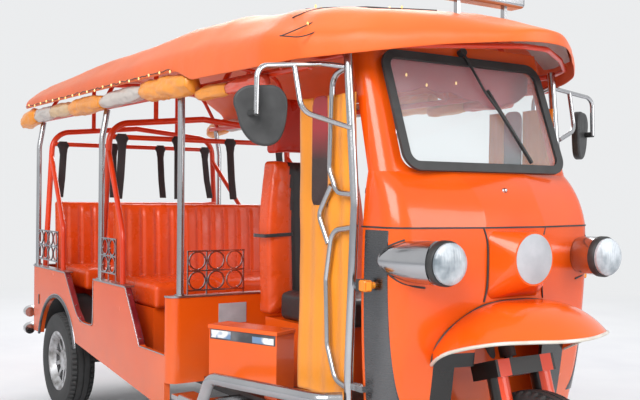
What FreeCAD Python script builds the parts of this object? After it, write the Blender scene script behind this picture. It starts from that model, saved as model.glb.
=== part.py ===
import FreeCAD, Part
import math
import os
import re
import Sketcher
from FreeCAD import Placement, Rotation, Vector

# Auto rickshaw with a driver's cab at the front, two passenger benches behind it and a
# canvas roof. X points forward, Y to the vehicle's left, Z up, the ground is Z = 0 and
# X = 0 lies midway between the rear bumper and the front tyre. All lengths in millimetres.

doc = FreeCAD.newDocument("auto_rickshaw")

# Driving sizes: name, value
SIZES = [
    # Passenger tub
    ("tub_rear_x", -1940),
    ("tub_front_x", 200),
    ("tub_half", 680),
    ("tub_wall", 28),
    ("tub_round", 52),
    ("rail_z", 840),
    ("capping_thick", 8),
    ("capping_wide", 52),
    ("capping_lip", 4),
    ("partition_low_z", 440),
    ("rear_low_z", 420),
    ("side_low_z", 330),
    ("side_rise_z", 452),
    ("sill_z", 565),
    ("door_rear_x", -337),
    ("door_foot_x", -150),
    ("entry_rear_x", -1280),
    ("entry_bend_x", -1097),
    ("entry_bend_z", 636),
    ("entry_foot_x", -1010),
    ("entry_sill_z", 578),
    ("entry_front_x", -800),
    ("arch_z", 330),
    ("arch_round", 345),
    ("housing_wall", 14),
    ("housing_inner", 500),
    ("floor_top_z", 460),
    ("floor_thick", 18),
    ("cab_floor_half", 503.5),
    ("cab_floor_front_x", 1450),
    # Chassis
    ("rail_half", 400),
    ("rail_tube_wide", 50),
    ("rail_tube_high", 60),
    ("cross_tube", 40),
    ("chassis_front_x", 1330),
    ("rail_rear_x", -1911),
    # Wheels
    ("rear_axle_x", -1450),
    ("rear_tyre_round", 290),
    ("rear_tyre_wide", 150),
    ("rear_tyre_face", 676),
    ("bead_round", 165),
    ("front_axle_x", 1805),
    ("front_tyre_round", 317),
    ("front_tyre_wide", 110),
    ("front_bead_round", 178),
    ("axle_beam_round", 32),
    ("diff_round", 105),
    ("hub_round", 62),
    ("spoke_count", 10),
    # Steering
    ("rake", 17),
    ("fork_offset", 35),
    ("leg_half", 106),
    ("leg_round", 38),
    ("leg_long", 440),
    ("crown_low", 372),
    ("crown_high", 432),
    ("stem_round", 16),
    ("head_low", 442),
    ("head_high", 650),
    ("head_round", 30),
    ("bar_high", 1000),
    ("bar_back", 180),
    ("bar_half", 330),
    ("bar_round", 12),
    ("grip_round", 17),
    # Cab shells
    ("cab_half", 500),
    ("cab_rear_x", 1425),
    ("cab_wall", 16),
    ("seam_z", 1200),
    ("seam_gap", 6),
    ("nose_low_z", 430),
    ("pillar_top_x", 1275),
    ("nose_mid_z", 780),
    ("seam_front_x", 1672),
    ("hood_z", 1331),
    ("hood_front_x", 1610),
    ("cowl_z", 1395),
    ("cowl_front_x", 1540),
    ("cab_top_z", 1895),
    ("screen_rake", 20.5),
    ("screen_half", 405),
    ("screen_low_z", 1397),
    ("screen_tall", 474),
    ("screen_round", 70),
    ("seal_wide", 34),
    ("seal_thick", 24),
    ("glass_thick", 6),
    ("cap_half", 150),
    ("cap_low_z", 930),
    ("cap_front_x", 1764),
    ("badge_round", 95),
    ("badge_z", 1092),
    # Lamps
    ("lamp_x", 1758),
    ("lamp_y", 393),
    ("lamp_z", 1087),
    ("lamp_round", 72),
    ("lens_round", 61),
    # Mudguard
    ("guard_centre_x", 1730),
    ("guard_round", 372),
    ("guard_squash", 0.73),
    ("guard_low_z", 715),
    ("guard_edge_z", 765),
    ("guard_top_z", 940),
    ("guard_thick", 6),
    # Roof
    ("roof_rear_x", -2050),
    ("roof_swell_x", -1200),
    ("roof_break_x", 330),
    ("roof_step_x", 480),
    ("visor_rear_x", 1090),
    ("roof_half", 722),
    ("visor_half", 735),
    ("skirt_z", 1843),
    ("front_skirt_z", 1790),
    ("roof_crown_z", 2140),
    ("canvas", 12),
    ("roof_tube", 15),
    ("roof_tube_z", 1775),
    ("roof_tube_in", 58),
    ("bow_reach", 490),
    ("bow_bend", 120),
    ("roll_round", 45),
    ("roll_lift", 17),
    ("front_roll_round", 30),
    ("front_roll_drop", 33),
    ("roll_front_x", 1000),
    # Posts and hoops
    ("post_round", 16.5),
    ("post_in", 30),
    ("front_post_in", 60),
    ("post_bend_drop", 175),
    ("front_post_x", 178),
    ("mid_post_x", -765),
    ("rear_post_x", -1905),
    ("flange_round", 25),
    ("flange_thick", 7),
    ("hoop_round", 17.5),
    ("rear_hoop_x", -1874.2),
    ("mid_hoop_x", -851.5),
    ("hoop_foot_in", 68),
    ("hoop_top_in", 108),
    ("hoop_shoulder_drop", 85),
    ("hoop_crown_drop", 30),
    ("belt_bar_drop", 155),
    ("riser_half", 300),
    # Benches
    ("bench_in", 90),
    ("cushion_low_z", 730),
    ("cushion_top_z", 852),
    ("cushion_long", 520),
    ("back_top_z", 1267),
    ("back_thick", 95),
    ("back_gap", 18),
    ("mid_back_x", -720),
    ("rear_back_x", -1743),
    ("base_in", 120),
    ("rear_base_in", 200),
    ("base_set", 60),
    ("base_wall", 15),
    ("plate_bolt_half", 130),
    ("plate_bolt_z", 700),
    ("plate_bolt_round", 4),
    ("air", 0.3),
]

# Widths and reaches that follow from the sizes above
TIED = {
    "bench_half": "(tub_half - bench_in)",
    "base_half": "(tub_half - base_in)",
    "rear_base_half": "(tub_half - rear_base_in)",
    "roof_tube_half": "(tub_half - roof_tube_in)",
    "post_half": "(tub_half - post_in)",
    "front_post_half": "(tub_half - front_post_in)",
    "hoop_foot_half": "(tub_half - hoop_foot_in)",
    "hoop_top_half": "(tub_half - hoop_top_in)",
}

sheet = doc.addObject("Spreadsheet::Sheet", "Sizes")
for row, (alias, value) in enumerate(SIZES, 1):
    sheet.set(f"A{row}", alias)
    sheet.set(f"B{row}", str(value))
    sheet.setAlias(f"B{row}", alias)
doc.recompute()
NAMES = {alias for alias, value in SIZES}
nodes = []


def cells(words):
    """The same expression with each size read from the spreadsheet."""
    full = re.sub(r"[a-z][a-z_0-9]*", lambda m: TIED.get(m[0], m[0]), words)
    return re.sub(r"[a-z][a-z_0-9]*", lambda m: ("Sizes." if m[0] in NAMES else "") + m[0], full)


def mm(words):
    """The present value of an expression of sizes."""
    return float(sheet.evalExpression(cells(str(words))))


def bind(item, **sizes):
    """Ties properties of a feature to expressions of sizes."""
    for name, words in sizes.items():
        item.setExpression(name, cells(str(words)))
    return item


def place(item, x="0", y="0", z="0"):
    """Ties a feature's position to expressions of sizes."""
    for axis, words in zip("xyz", (x, y, z)):
        item.setExpression(f"Placement.Base.{axis}", cells(str(words)))
    return item


def keep(item, label):
    """Names a finished sub-part, which is written to a file of that name."""
    item.Label = label
    nodes.append(item)
    return item


def draw(sketch, corners):
    """A closed outline through corners (x, y, radius), each tied to the sizes."""
    points = [Vector(mm(c[0]), mm(c[1]), 0) for c in corners]
    rounds = [c[2] if len(c) > 2 else None for c in corners]
    count = len(points)
    joins = []
    for i, (point, words) in enumerate(zip(points, rounds)):
        if words is None:
            joins.append((point, point, None))
            continue
        back = (points[i - 1] - point).normalize()
        ahead = (points[(i + 1) % count] - point).normalize()
        half = back.getAngle(ahead) / 2
        radius = mm(words)
        start = point + back * (radius / math.tan(half))
        end = point + ahead * (radius / math.tan(half))
        centre = point + (back + ahead).normalize() * (radius / math.sin(half))
        joins.append((start, end, (centre, radius, back.cross(ahead).z < 0)))
    lines = []
    for i in range(count):
        run = Part.LineSegment(joins[i][1], joins[(i + 1) % count][0])
        lines.append(sketch.addGeometry(run, False))
    for i, (start, end, arc) in enumerate(joins):
        before, after = lines[i - 1], lines[i]
        if arc is None:
            sketch.addConstraint(Sketcher.Constraint("Coincident", before, 2, after, 1))
            mark, spot = after, 1
        else:
            centre, radius, left = arc
            first, last = (start, end) if left else (end, start)
            angles = [math.atan2(p.y - centre.y, p.x - centre.x) for p in (first, last)]
            circle = Part.Circle(centre, Vector(0, 0, 1), radius)
            bend = sketch.addGeometry(Part.ArcOfCircle(circle, *angles), False)
            ends = (1, 2) if left else (2, 1)
            sketch.addConstraint(Sketcher.Constraint("Tangent", before, 2, bend, ends[0]))
            sketch.addConstraint(Sketcher.Constraint("Tangent", bend, ends[1], after, 1))
            size = sketch.addConstraint(Sketcher.Constraint("Radius", bend, radius))
            sketch.setExpression(f"Constraints[{size}]", cells(rounds[i]))
            mark, spot = sketch.addGeometry(Part.Point(points[i]), True), 1
            sketch.addConstraint(Sketcher.Constraint("PointOnObject", mark, 1, before))
            sketch.addConstraint(Sketcher.Constraint("PointOnObject", mark, 1, after))
        for kind, words, value in zip(("DistanceX", "DistanceY"), corners[i], points[i]):
            size = sketch.addConstraint(Sketcher.Constraint(kind, -1, 1, mark, spot, value))
            sketch.setExpression(f"Constraints[{size}]", cells(str(words)))


def ring(sketch, x, y, radius):
    """A circle tied to the sizes."""
    circle = Part.Circle(Vector(mm(x), mm(y), 0), Vector(0, 0, 1), mm(radius))
    line = sketch.addGeometry(circle, False)
    for kind, spot, words in (("DistanceX", 3, x), ("DistanceY", 3, y)):
        rule = Sketcher.Constraint(kind, -1, 1, line, spot, mm(words))
        size = sketch.addConstraint(rule)
        sketch.setExpression(f"Constraints[{size}]", cells(str(words)))
    size = sketch.addConstraint(Sketcher.Constraint("Radius", line, mm(radius)))
    sketch.setExpression(f"Constraints[{size}]", cells(str(radius)))


def new_sketch(body, plane, offset="0", turn="0"):
    """A sketch on one of the body's own origin planes, moved along its normal."""
    sketch = body.newObject("Sketcher::SketchObject", "outline")
    datum = [f for f in body.Origin.OriginFeatures if f.Role == plane + "_Plane"][0]
    sketch.AttachmentSupport = [(datum, "")]
    sketch.MapMode = "FlatFace"
    if turn != "0":
        sketch.AttachmentOffset = Placement(Vector(), Rotation(Vector(1, 0, 0), mm(turn)))
    sketch.setExpression("AttachmentOffset.Base.z", cells(str(offset)))
    return sketch


def new_body(name):
    """An empty body."""
    return doc.addObject("PartDesign::Body", name)


def pad(body, plane, corners, length, offset="0", middle=False):
    """Adds material: an outline pushed out along the plane's normal."""
    sketch = new_sketch(body, plane, offset)
    draw(sketch, corners)
    feature = body.newObject("PartDesign::Pad", "pad")
    feature.Profile = sketch
    if middle:
        feature.SideType = "Symmetric"
    return bind(feature, Length=length)


def pocket(body, plane, corners=None, circle=None, offset="0", length=None):
    """Cuts an outline or a circle right through, or to a length, both ways."""
    sketch = new_sketch(body, plane, offset)
    if circle:
        ring(sketch, *circle)
    else:
        draw(sketch, corners)
    feature = body.newObject("PartDesign::Pocket", "pocket")
    feature.Profile = sketch
    feature.SideType = "Symmetric"
    if length is None:
        feature.Type = "ThroughAll"
    else:
        bind(feature, Length=length)
    return feature


def loft(body, plane, sections, ruled=False, cut=False):
    """Joins outlines given as (offset, corners) with one smooth or ruled skin."""
    sketches = []
    for offset, corners in sections:
        sketch = new_sketch(body, plane, offset)
        draw(sketch, corners)
        sketches.append(sketch)
    doc.recompute()
    kind = "PartDesign::SubtractiveLoft" if cut else "PartDesign::AdditiveLoft"
    feature = body.newObject(kind, "loft")
    feature.Profile = sketches[0]
    feature.Sections = sketches[1:]
    feature.Ruled = ruled
    return feature


def box(name, x, y, z, length, width, height):
    """A block given by its low corner and sizes."""
    block = bind(doc.addObject("Part::Box", name), Length=length, Width=width, Height=height)
    return place(block, x, y, z)


def tubes(paths):
    """Bent round bars as one shape: each path is (radius, bend, points)."""
    shapes = []
    for radius, bend, points in paths:
        spots = [Vector(*[mm(v) for v in p[:3]]) for p in points]
        edges = []
        start = spots[0]
        for i in range(1, len(spots) - 1):
            back = (spots[i - 1] - spots[i]).normalize()
            ahead = (spots[i + 1] - spots[i]).normalize()
            half = back.getAngle(ahead) / 2
            turn = mm(points[i][3] if len(points[i]) > 3 else bend)
            first = spots[i] + back * (turn / math.tan(half))
            last = spots[i] + ahead * (turn / math.tan(half))
            out = (back + ahead).normalize()
            centre = spots[i] + out * (turn / math.sin(half))
            edges.append(Part.makeLine(start, first))
            edges.append(Part.Arc(first, centre - out * turn, last).toShape())
            start = last
        edges.append(Part.makeLine(start, spots[-1]))
        path = Part.Wire(edges)
        profile = Part.Wire(Part.makeCircle(mm(radius), spots[0], spots[1] - spots[0]))
        shapes.append(path.makePipeShell([profile], True, True))
    solid = shapes[0]
    if len(shapes) > 1:
        solid = solid.multiFuse(shapes[1:])
    return solid


def feature(name, shape):
    """A sub-part whose shape is made directly."""
    item = doc.addObject("Part::Feature", name)
    item.Shape = shape
    return item


def mirror(shape):
    """The same shape on the other side of the vehicle."""
    return shape.mirror(Vector(0, 0, 0), Vector(0, 1, 0))


def pair(name, shape):
    """A piece and its twin on the other side, as one sub-part."""
    return keep(feature(name, Part.makeCompound([shape, mirror(shape)])), name)


def both_sides(items, name):
    """Bodies and their mirrored twins, as one sub-part."""
    twins = []
    for item in items:
        twin = doc.addObject("Part::Mirroring", item.Name + "_twin")
        twin.Source = item
        twin.Normal = Vector(0, 1, 0)
        twins.append(twin)
    whole_set = doc.addObject("Part::Compound", name)
    whole_set.Links = items + twins
    return keep(whole_set, name)


# Chassis: two box rails, cross tubes, and the head tube that the fork turns in

def tilted(shape):
    """Moves a shape drawn along an upright steering axis to the raked axis."""
    angle = math.radians(mm("rake"))
    back = mm("fork_offset")
    foot = Vector(mm("front_axle_x") - back * math.cos(angle), 0,
                  mm("front_tyre_round") - back * math.sin(angle))
    moved = shape.copy()
    moved.Placement = Placement(foot, Rotation(Vector(0, 1, 0), -mm("rake")))
    return moved


rail_low = "floor_top_z - floor_thick - rail_tube_high"
rails = []
for side in (-1, 1):
    rails.append(Part.makeBox(
        mm("chassis_front_x - rail_rear_x"), mm("rail_tube_wide"), mm("rail_tube_high"),
        Vector(mm("rail_rear_x"), side * mm("rail_half") - mm("rail_tube_wide") / 2,
               mm(rail_low))))
for x in (-1885, -1030, -250, 400, 900, 1300):
    rails.append(Part.makeBox(
        mm("cross_tube"), mm("2 * rail_half"), mm("cross_tube"),
        Vector(x - mm("cross_tube") / 2, -mm("rail_half"), mm(rail_low) + 10)))


def stay_runs(radius):
    """The two bars that carry the head tube."""
    return [(radius, "90", [(1310, 250 * side, 412), (1370, 200 * side, 560),
                            (1450, 90 * side, 740), (1600, 22 * side, 830)])
            for side in (-1, 1)]


rails.append(tubes(stay_runs("19")))
head_tube = tilted(Part.makeCylinder(
    mm("head_round"), mm("head_high - head_low"), Vector(0, 0, mm("head_low"))))
bore = tilted(Part.makeCylinder(
    mm("stem_round + 0.08"), mm("head_high"), Vector(0, 0, mm("head_low") - 50)))
frame_shape = head_tube.multiFuse(rails).cut(bore)
chassis = keep(feature("chassis_frame", frame_shape), "chassis_frame")

# Floor: a flat pan, waisted beside the rear wheels and narrower in the cab

inner = "tub_half - tub_wall - air"
half_floor = [
    ("tub_rear_x + tub_wall + air", inner, "25"), ("rear_axle_x - arch_round - 25", inner),
    ("rear_axle_x - arch_round - 25", "housing_inner - air"),
    ("rear_axle_x + arch_round + 45", "housing_inner - air"),
    ("rear_axle_x + arch_round + 45", inner), ("tub_front_x - tub_wall - air", inner, "25"),
    ("tub_front_x - tub_wall - air", "cab_floor_half"),
    ("cab_rear_x - air", "cab_floor_half"), ("cab_rear_x - air", "cab_floor_half - 65"),
    ("cab_floor_front_x - 5", "cab_floor_half - 65")]
outline = [(c[0], "-(" + c[1] + ")") + c[2:] for c in half_floor] + half_floor[::-1]
floor = new_body("floor_body")
pad(floor, "XY", outline, "floor_thick", "floor_top_z - floor_thick")
doc.recompute()
floor_shape = floor.Shape.cut(tubes(stay_runs("19 + air")))
keep(feature("floor_pan", floor_shape), "floor_pan")

# Tub sides with two entries and the wheel arch: each is four sheets welded edge to edge

side_front = "tub_front_x - tub_round - 2"
side_rear = "tub_rear_x + tub_round + 2"
top = "rail_z - capping_thick"
side = new_body("side_body")
pad(side, "XZ", [
    (side_rear, "rear_low_z"), ("rear_axle_x", "rear_low_z"),
    ("entry_bend_x", "side_rise_z"), ("0", "side_low_z", "80"),
    (side_front, "side_low_z + 20"), (side_front, "sill_z"), ("door_foot_x", "sill_z", "45"),
    ("door_rear_x", top, "12"), ("entry_front_x", top, "12"),
    ("entry_front_x", "entry_sill_z", "25"), ("entry_foot_x", "entry_sill_z", "60"),
    ("entry_bend_x", "entry_bend_z", "60"), ("entry_rear_x", top, "12"),
    (side_rear, top)], "tub_wall", "tub_half - tub_wall")
pocket(side, "XZ", circle=("rear_axle_x + 15", "arch_z", "arch_round"))
doc.recompute()
seams = [side_rear, "entry_foot_x", "entry_front_x - 25", "door_foot_x", side_front]
sheets = []
for number, (rear, front) in enumerate(zip(seams, seams[1:]), 1):
    reach = box(f"sheet_reach_{number}", rear, "-tub_half", "0", f"({front}) - ({rear})",
                "tub_wall", "rail_z")
    sheet = doc.addObject("Part::Common", f"side_sheet_{number}")
    sheet.Base = side
    sheet.Tool = reach
    sheets.append(sheet)
both_sides(sheets, "side_panels")


# Front partition and rear panel: bent panels that close the tub

def bent_panel(name, end_x, arm_x, sense, low_z):
    """A panel across the tub, bent round to the sides with rounded corners."""
    body = new_body(name)
    inward = f"{end_x} - {sense} * tub_wall"
    arms = f"{arm_x}"
    far = "tub_half"
    near = "tub_half - tub_wall"
    corners = [
        (arms, f"-({far})"), (end_x, f"-({far})", "tub_round"), (end_x, far, "tub_round"),
        (arms, far), (arms, near), (inward, near, "tub_round - tub_wall"),
        (inward, f"-({near})", "tub_round - tub_wall"), (arms, f"-({near})")]
    pad(body, "XY", corners, f"rail_z - capping_thick - {low_z}", low_z)
    return body


partition = bent_panel("front_partition", "tub_front_x", side_front, 1, "partition_low_z")
pocket(partition, "YZ", [
    ("-(cab_floor_half + air)", "0"), ("cab_floor_half + air", "0"),
    ("cab_floor_half + air", "floor_top_z + air"),
    ("-(cab_floor_half + air)", "floor_top_z + air")])
keep(partition, "front_partition")
tail_panel = bent_panel("rear_panel", "tub_rear_x", side_rear, -1, "rear_low_z")
for sign in ("-1", "1"):
    pocket(tail_panel, "YZ", circle=(f"{sign} * plate_bolt_half", "plate_bolt_z", "plate_bolt_round"),
           offset="tub_rear_x", length="4 * tub_wall")
keep(tail_panel, "rear_panel")

# Capping: polished strip along every rail of the tub

capping = new_body("capping_body")
rim = "tub_half + capping_lip"
in_rim = "tub_half + capping_lip - capping_wide"
for end_x, arm_x, sense in (("tub_front_x", side_front, 1), ("tub_rear_x", "entry_rear_x", -1)):
    outer_x = f"{end_x} + {sense} * capping_lip"
    inner_x = f"{end_x} - {sense} * (capping_wide - capping_lip)"
    pad(capping, "XY", [
        (arm_x, f"-({rim})"), (outer_x, f"-({rim})", "tub_round"),
        (outer_x, rim, "tub_round"), (arm_x, rim), (arm_x, in_rim),
        (inner_x, in_rim, "3"), (inner_x, f"-({in_rim})", "3"), (arm_x, f"-({in_rim})")],
        "capping_thick", top)
    if sense == 1:
        capping.AllowCompound = True
for sign in ("-1", "1"):
    pad(capping, "XY", [
        ("entry_front_x", f"{sign} * ({rim})"), ("door_rear_x", f"{sign} * ({rim})"),
        ("door_rear_x", f"{sign} * ({in_rim})"), ("entry_front_x", f"{sign} * ({in_rim})")],
        "capping_thick", top)
keep(capping, "rail_capping")

# Wheel housings inside the tub

housing = Part.makeCylinder(
    mm("arch_round + housing_wall"), mm("tub_half - tub_wall - housing_inner - air"),
    Vector(mm("rear_axle_x + 15"), mm("-(tub_half - tub_wall - air)"), mm("arch_z")),
    Vector(0, 1, 0))
hollow = Part.makeCylinder(
    mm("arch_round"), mm("tub_half - tub_wall - housing_inner - housing_wall"),
    Vector(mm("rear_axle_x + 15"), mm("-(tub_half - tub_wall)"), mm("arch_z")),
    Vector(0, 1, 0))
below = Part.makeBox(1000, 1000, mm("floor_top_z - floor_thick"),
                     Vector(mm("rear_axle_x") - 500, -1000, 0))
below = below.fuse(Part.makeBox(1000, 1000, 100, Vector(mm("rear_axle_x") - 500, -1000, -100)))
pair("wheel_housings", housing.cut(hollow).cut(below))

# Benches: padded cushion and back on a boxed base, alike for both rows

cushions, backs, bases = [], [], []
for row, back_x, base_half in (("middle", "mid_back_x", "base_half"),
                               ("rear", "rear_back_x", "rear_base_half")):
    cushion = new_body(row + "_cushion_body")
    pad(cushion, "XZ", [
        (back_x, "cushion_low_z + air", "10"),
        (f"{back_x} + cushion_long", "cushion_low_z + air", "50"),
        (f"{back_x} + cushion_long", "cushion_top_z", "50"),
        (back_x, "cushion_top_z", "20")], "2 * bench_half", "0", True)
    cushions.append(cushion)
    back = new_body(row + "_back_body")
    pad(back, "XZ", [
        (f"{back_x} - back_thick - air", "cushion_low_z + air", "20"),
        (f"{back_x} - air", "cushion_low_z + air", "10"),
        (f"{back_x} - air", "cushion_top_z", "10"),
        (f"{back_x} - air - back_gap", "back_top_z", "35"),
        (f"{back_x} - back_thick - air - back_gap", "back_top_z", "35")],
        "2 * bench_half", "0", True)
    backs.append(back)
    base_front = f"{back_x} + cushion_long - base_set"
    base = new_body(row + "_base_body")
    pad(base, "XY", [
        (f"{back_x} - 40", f"-{base_half}"), (base_front, f"-{base_half}"),
        (base_front, base_half), (f"{back_x} - 40", base_half)],
        "cushion_low_z - floor_top_z - air", "floor_top_z + air")
    sketch = new_sketch(base, "XY", "floor_top_z + air")
    draw(sketch, [
        (f"{back_x} - 40 + base_wall", f"-{base_half} + base_wall"),
        (f"{base_front} - base_wall", f"-{base_half} + base_wall"),
        (f"{base_front} - base_wall", f"{base_half} - base_wall"),
        (f"{back_x} - 40 + base_wall", f"{base_half} - base_wall")])
    room = base.newObject("PartDesign::Pocket", "room")
    room.Profile = sketch
    room.Reversed = True
    bind(room, Length="cushion_low_z - floor_top_z - air - base_wall")
    bases.append(base)

for label, members in (("bench_cushions", cushions), ("bench_backs", backs),
                       ("bench_bases", bases)):
    group = doc.addObject("Part::Compound", label)
    group.Links = members
    keep(group, label)

battery = box("battery_pack", "mid_back_x + 20", "-450", "floor_top_z + air", "400", "900", "210")
keep(battery, "battery_pack")

# Driver's seat on its box

seat_base = box("driver_seat_base", "340", "-260", "floor_top_z + air", "480", "520", "280")
keep(seat_base, "driver_seat_base")
driver_cushion = new_body("driver_cushion_body")
pad(driver_cushion, "XZ", [
    ("420", "floor_top_z + 281", "15"), ("890", "floor_top_z + 281", "45"),
    ("890", "880", "55"), ("420", "860", "20")], "520", "0", True)
keep(driver_cushion, "driver_seat_cushion")
driver_back = new_body("driver_back_body")
pad(driver_back, "XZ", [
    ("300", "floor_top_z + 281", "25"), ("419", "floor_top_z + 281", "20"),
    ("419", "860", "20"), ("360", "1490", "38"), ("275", "1490", "38")], "600", "0", True)
keep(driver_back, "driver_seat_back")


# Cab shells: nose outlines at each height, with one wall thickness all round

def nose_outline(rear_x, half, corner_x, corner_round, front_x, crown, grow="0"):
    """Plan outline of the nose, open-backed when grown inward by a wall."""
    wide = f"{half} - {grow}"
    return [
        (f"{rear_x} - abs({grow}) * 4", f"-({wide})"),
        (f"{corner_x} - {grow}", f"-({wide})", f"{corner_round} - {grow}"),
        (f"{front_x} - {grow}", f"-{crown}", "60"),
        (f"{front_x} - {grow}", f"{crown}", "60"),
        (f"{corner_x} - {grow}", wide, f"{corner_round} - {grow}"),
        (f"{rear_x} - abs({grow}) * 4", wide)]


NOSE = [
    # height, rear edge x, half width, corner x, corner round, front x, half of the flat front
    ("nose_low_z", "cab_rear_x", "cab_half - 26", "1510", "78", "1608", "150"),
    ("nose_mid_z", "cab_rear_x", "cab_half", "1575", "95", "1655", "150"),
    ("seam_z - seam_gap / 2", "cab_rear_x", "cab_half", "1595", "90", "seam_front_x", "150"),
]
HOOD = [
    ("seam_z + seam_gap / 2", "cab_rear_x", "cab_half", "1595", "90", "seam_front_x", "150"),
    ("hood_z", "cab_rear_x", "cab_half - 10", "1550", "80", "hood_front_x", "150"),
    ("cowl_z", "cab_rear_x", "cab_half - 20", "1500", "70", "cowl_front_x", "180"),
]
SCREEN = [
    ("cowl_z", "cab_rear_x", "cab_half - 20", "1500", "70", "cowl_front_x", "180"),
    ("cab_top_z", "pillar_top_x", "cab_half - 40", "1340", "40",
     "cowl_front_x - (cab_top_z - cowl_z) * tan(screen_rake)", "180"),
]

lower = new_body("lower_shell_body")
nose_block = loft(lower, "XY", [(row[0], nose_outline(*row[1:])) for row in NOSE])
cutter = [(row[0], nose_outline(*row[1:], grow="cab_wall")) for row in NOSE]
cutter[0] = ("nose_low_z - 1", cutter[0][1])
cutter[-1] = ("seam_z", cutter[-1][1])
loft(lower, "XY", cutter, cut=True)
pocket(lower, "XZ", [
    ("cab_rear_x + 35", "0"), ("2200", "0"), ("2200", "guard_edge_z - 55"),
    ("cab_rear_x + 110", "guard_edge_z - 55", "80"), ("cab_rear_x + 35", "560", "60")],
    length="490")
pocket(lower, "XZ", [("1600", "600"), ("2200", "600"), ("2200", "880"),
                     ("1600", "880", "60")], length="340")

upper = new_body("upper_shell_body")
loft(upper, "XY", [(row[0], nose_outline(*row[1:])) for row in HOOD])
loft(upper, "XY", [(row[0], nose_outline(*row[1:])) for row in SCREEN], ruled=True)
cutter = [(row[0], nose_outline(*row[1:], grow="cab_wall")) for row in HOOD]
cutter[0] = ("seam_z", cutter[0][1])
cutter[-1] = ("cowl_z + 1", cutter[-1][1])
loft(upper, "XY", cutter, cut=True)
cutter = [(row[0], nose_outline(*row[1:], grow="cab_wall")) for row in SCREEN]
cutter[-1] = ("cab_top_z + 1", cutter[-1][1])
loft(upper, "XY", cutter, ruled=True, cut=True)
doc.recompute()


def screen_slab(grow, thick, lift):
    """A rounded slab in the plane of the windscreen."""
    half = mm("screen_half") + grow
    tall = mm("screen_tall") + 2 * grow
    radius = mm("screen_round") + grow
    slab = Part.makeBox(2 * half, tall, thick, Vector(-half, -grow, lift))
    edges = [e for e in slab.Edges if abs(e.tangentAt(e.FirstParameter).z) > 0.9]
    slab = slab.makeFillet(radius, edges)
    rake = mm("screen_rake")
    slab.Placement = Placement(
        Vector(mm("cowl_front_x"), 0, mm("screen_low_z")),
        Rotation(Vector(0, 1, 0), 90 - rake).multiply(Rotation(Vector(0, 0, 1), 90)))
    return slab


opening = screen_slab(-mm("seal_wide") / 2, 120, -60)
shell = feature("cab_upper_shell", upper.Shape.cut(opening))
keep(shell, "cab_upper_shell")
seal = screen_slab(0, mm("seal_thick / 2"), mm("air")).cut(
    screen_slab(-mm("seal_wide"), 100, -50))
keep(feature("windscreen_seal", seal), "windscreen_seal")
glass = screen_slab(-mm("seal_wide / 2 + 1"), mm("glass_thick"), -mm("glass_thick"))
keep(feature("windscreen_glass", glass), "windscreen_glass")

# Roof: one canvas shell lofted along the vehicle, narrowing to the visor over the windscreen


def arch(half, low, shoulder, crown, inset="0"):
    """Cross-section of the canvas from skirt to skirt, closed along its lower edge."""
    wide = f"({half} - {inset})"
    high = f"({crown} - {inset})"
    side_z = f"({shoulder} - {inset} * 0.6)"
    bends = [(f"{wide} * 0.78", f"{high} - ({high} - {side_z}) * 0.26", f"{wide} * 0.35"),
             (wide, side_z, f"{wide} * 0.07"), (wide, f"{low}")]
    return ([("0", high, f"{wide} * 0.55")] + bends
            + [("-" + c[0],) + tuple(c[1:]) for c in bends[::-1]])


ROOF = [
    # station x, half width, skirt height, shoulder height, crown height
    ("roof_rear_x", "roof_half", "skirt_z", "skirt_z + 41", "roof_crown_z - 85"),
    ("roof_swell_x", "roof_half", "skirt_z", "skirt_z + 62", "roof_crown_z - 35"),
    ("roof_break_x", "roof_half", "skirt_z", "skirt_z + 69", "roof_crown_z"),
    ("roof_step_x", "roof_half", "front_skirt_z", "skirt_z + 69", "roof_crown_z - 5"),
    ("visor_rear_x", "visor_half", "front_skirt_z - 12", "skirt_z + 42", "roof_crown_z - 75"),
    ("visor_rear_x + 160", "visor_half * 0.94", "front_skirt_z", "skirt_z + 34",
     "roof_crown_z - 95"),
    ("visor_rear_x + 360", "visor_half * 0.77", "front_skirt_z + 12", "skirt_z + 26",
     "roof_crown_z - 135"),
    ("visor_rear_x + 550", "visor_half * 0.45", "front_skirt_z + 40", "skirt_z + 26",
     "roof_crown_z - 190"),
    ("visor_rear_x + 735", "visor_half * 0.12", "front_skirt_z + 52", "skirt_z + 24",
     "roof_crown_z - 252"),
]
canopy = new_body("canopy_body")
loft(canopy, "YZ", [(row[0], arch(*row[1:])) for row in ROOF], ruled=True)
hollow_rows = [(row[0], arch(row[1], f"{row[2]} - 40", row[3], row[4], "canvas")) for row in ROOF]
hollow_rows[0] = ("roof_rear_x - 1", hollow_rows[0][1])
hollow_rows[-1] = ("visor_rear_x + 735 - canvas", hollow_rows[-1][1])
loft(canopy, "YZ", hollow_rows, ruled=True, cut=True)
doc.recompute()
roof_shape = canopy.Shape
keep(canopy, "roof_canopy")

# Roof frame, posts and roll hoops

perimeter = []
for sign in (-1, 1):
    perimeter.append(("roof_tube", "60", [
        ("roof_rear_x + 60", f"{sign} * roof_tube_half", "roof_tube_z"),
        ("1262", f"{sign} * roof_tube_half", "roof_tube_z")]))


def roof_at(x):
    """Crown height and sideways slope of the canvas at a station."""
    for rear, front in zip(ROOF, ROOF[1:]):
        if mm(x) <= mm(front[0]):
            break
    share = (mm(x) - mm(rear[0])) / (mm(front[0]) - mm(rear[0]))
    half, low, shoulder, crown = [
        mm(a) + share * (mm(b) - mm(a)) for a, b in zip(rear[1:], front[1:])]
    return crown, 0.26 * (crown - shoulder) / (0.78 * half - mm("canvas"))


def bow_line(x):
    """Middle height and slope of the bow that holds up the canvas at a station."""
    crown, slope = roof_at(x)
    return crown - mm("canvas") - mm("roof_tube - 3 + air") * math.hypot(1, slope), slope


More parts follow.
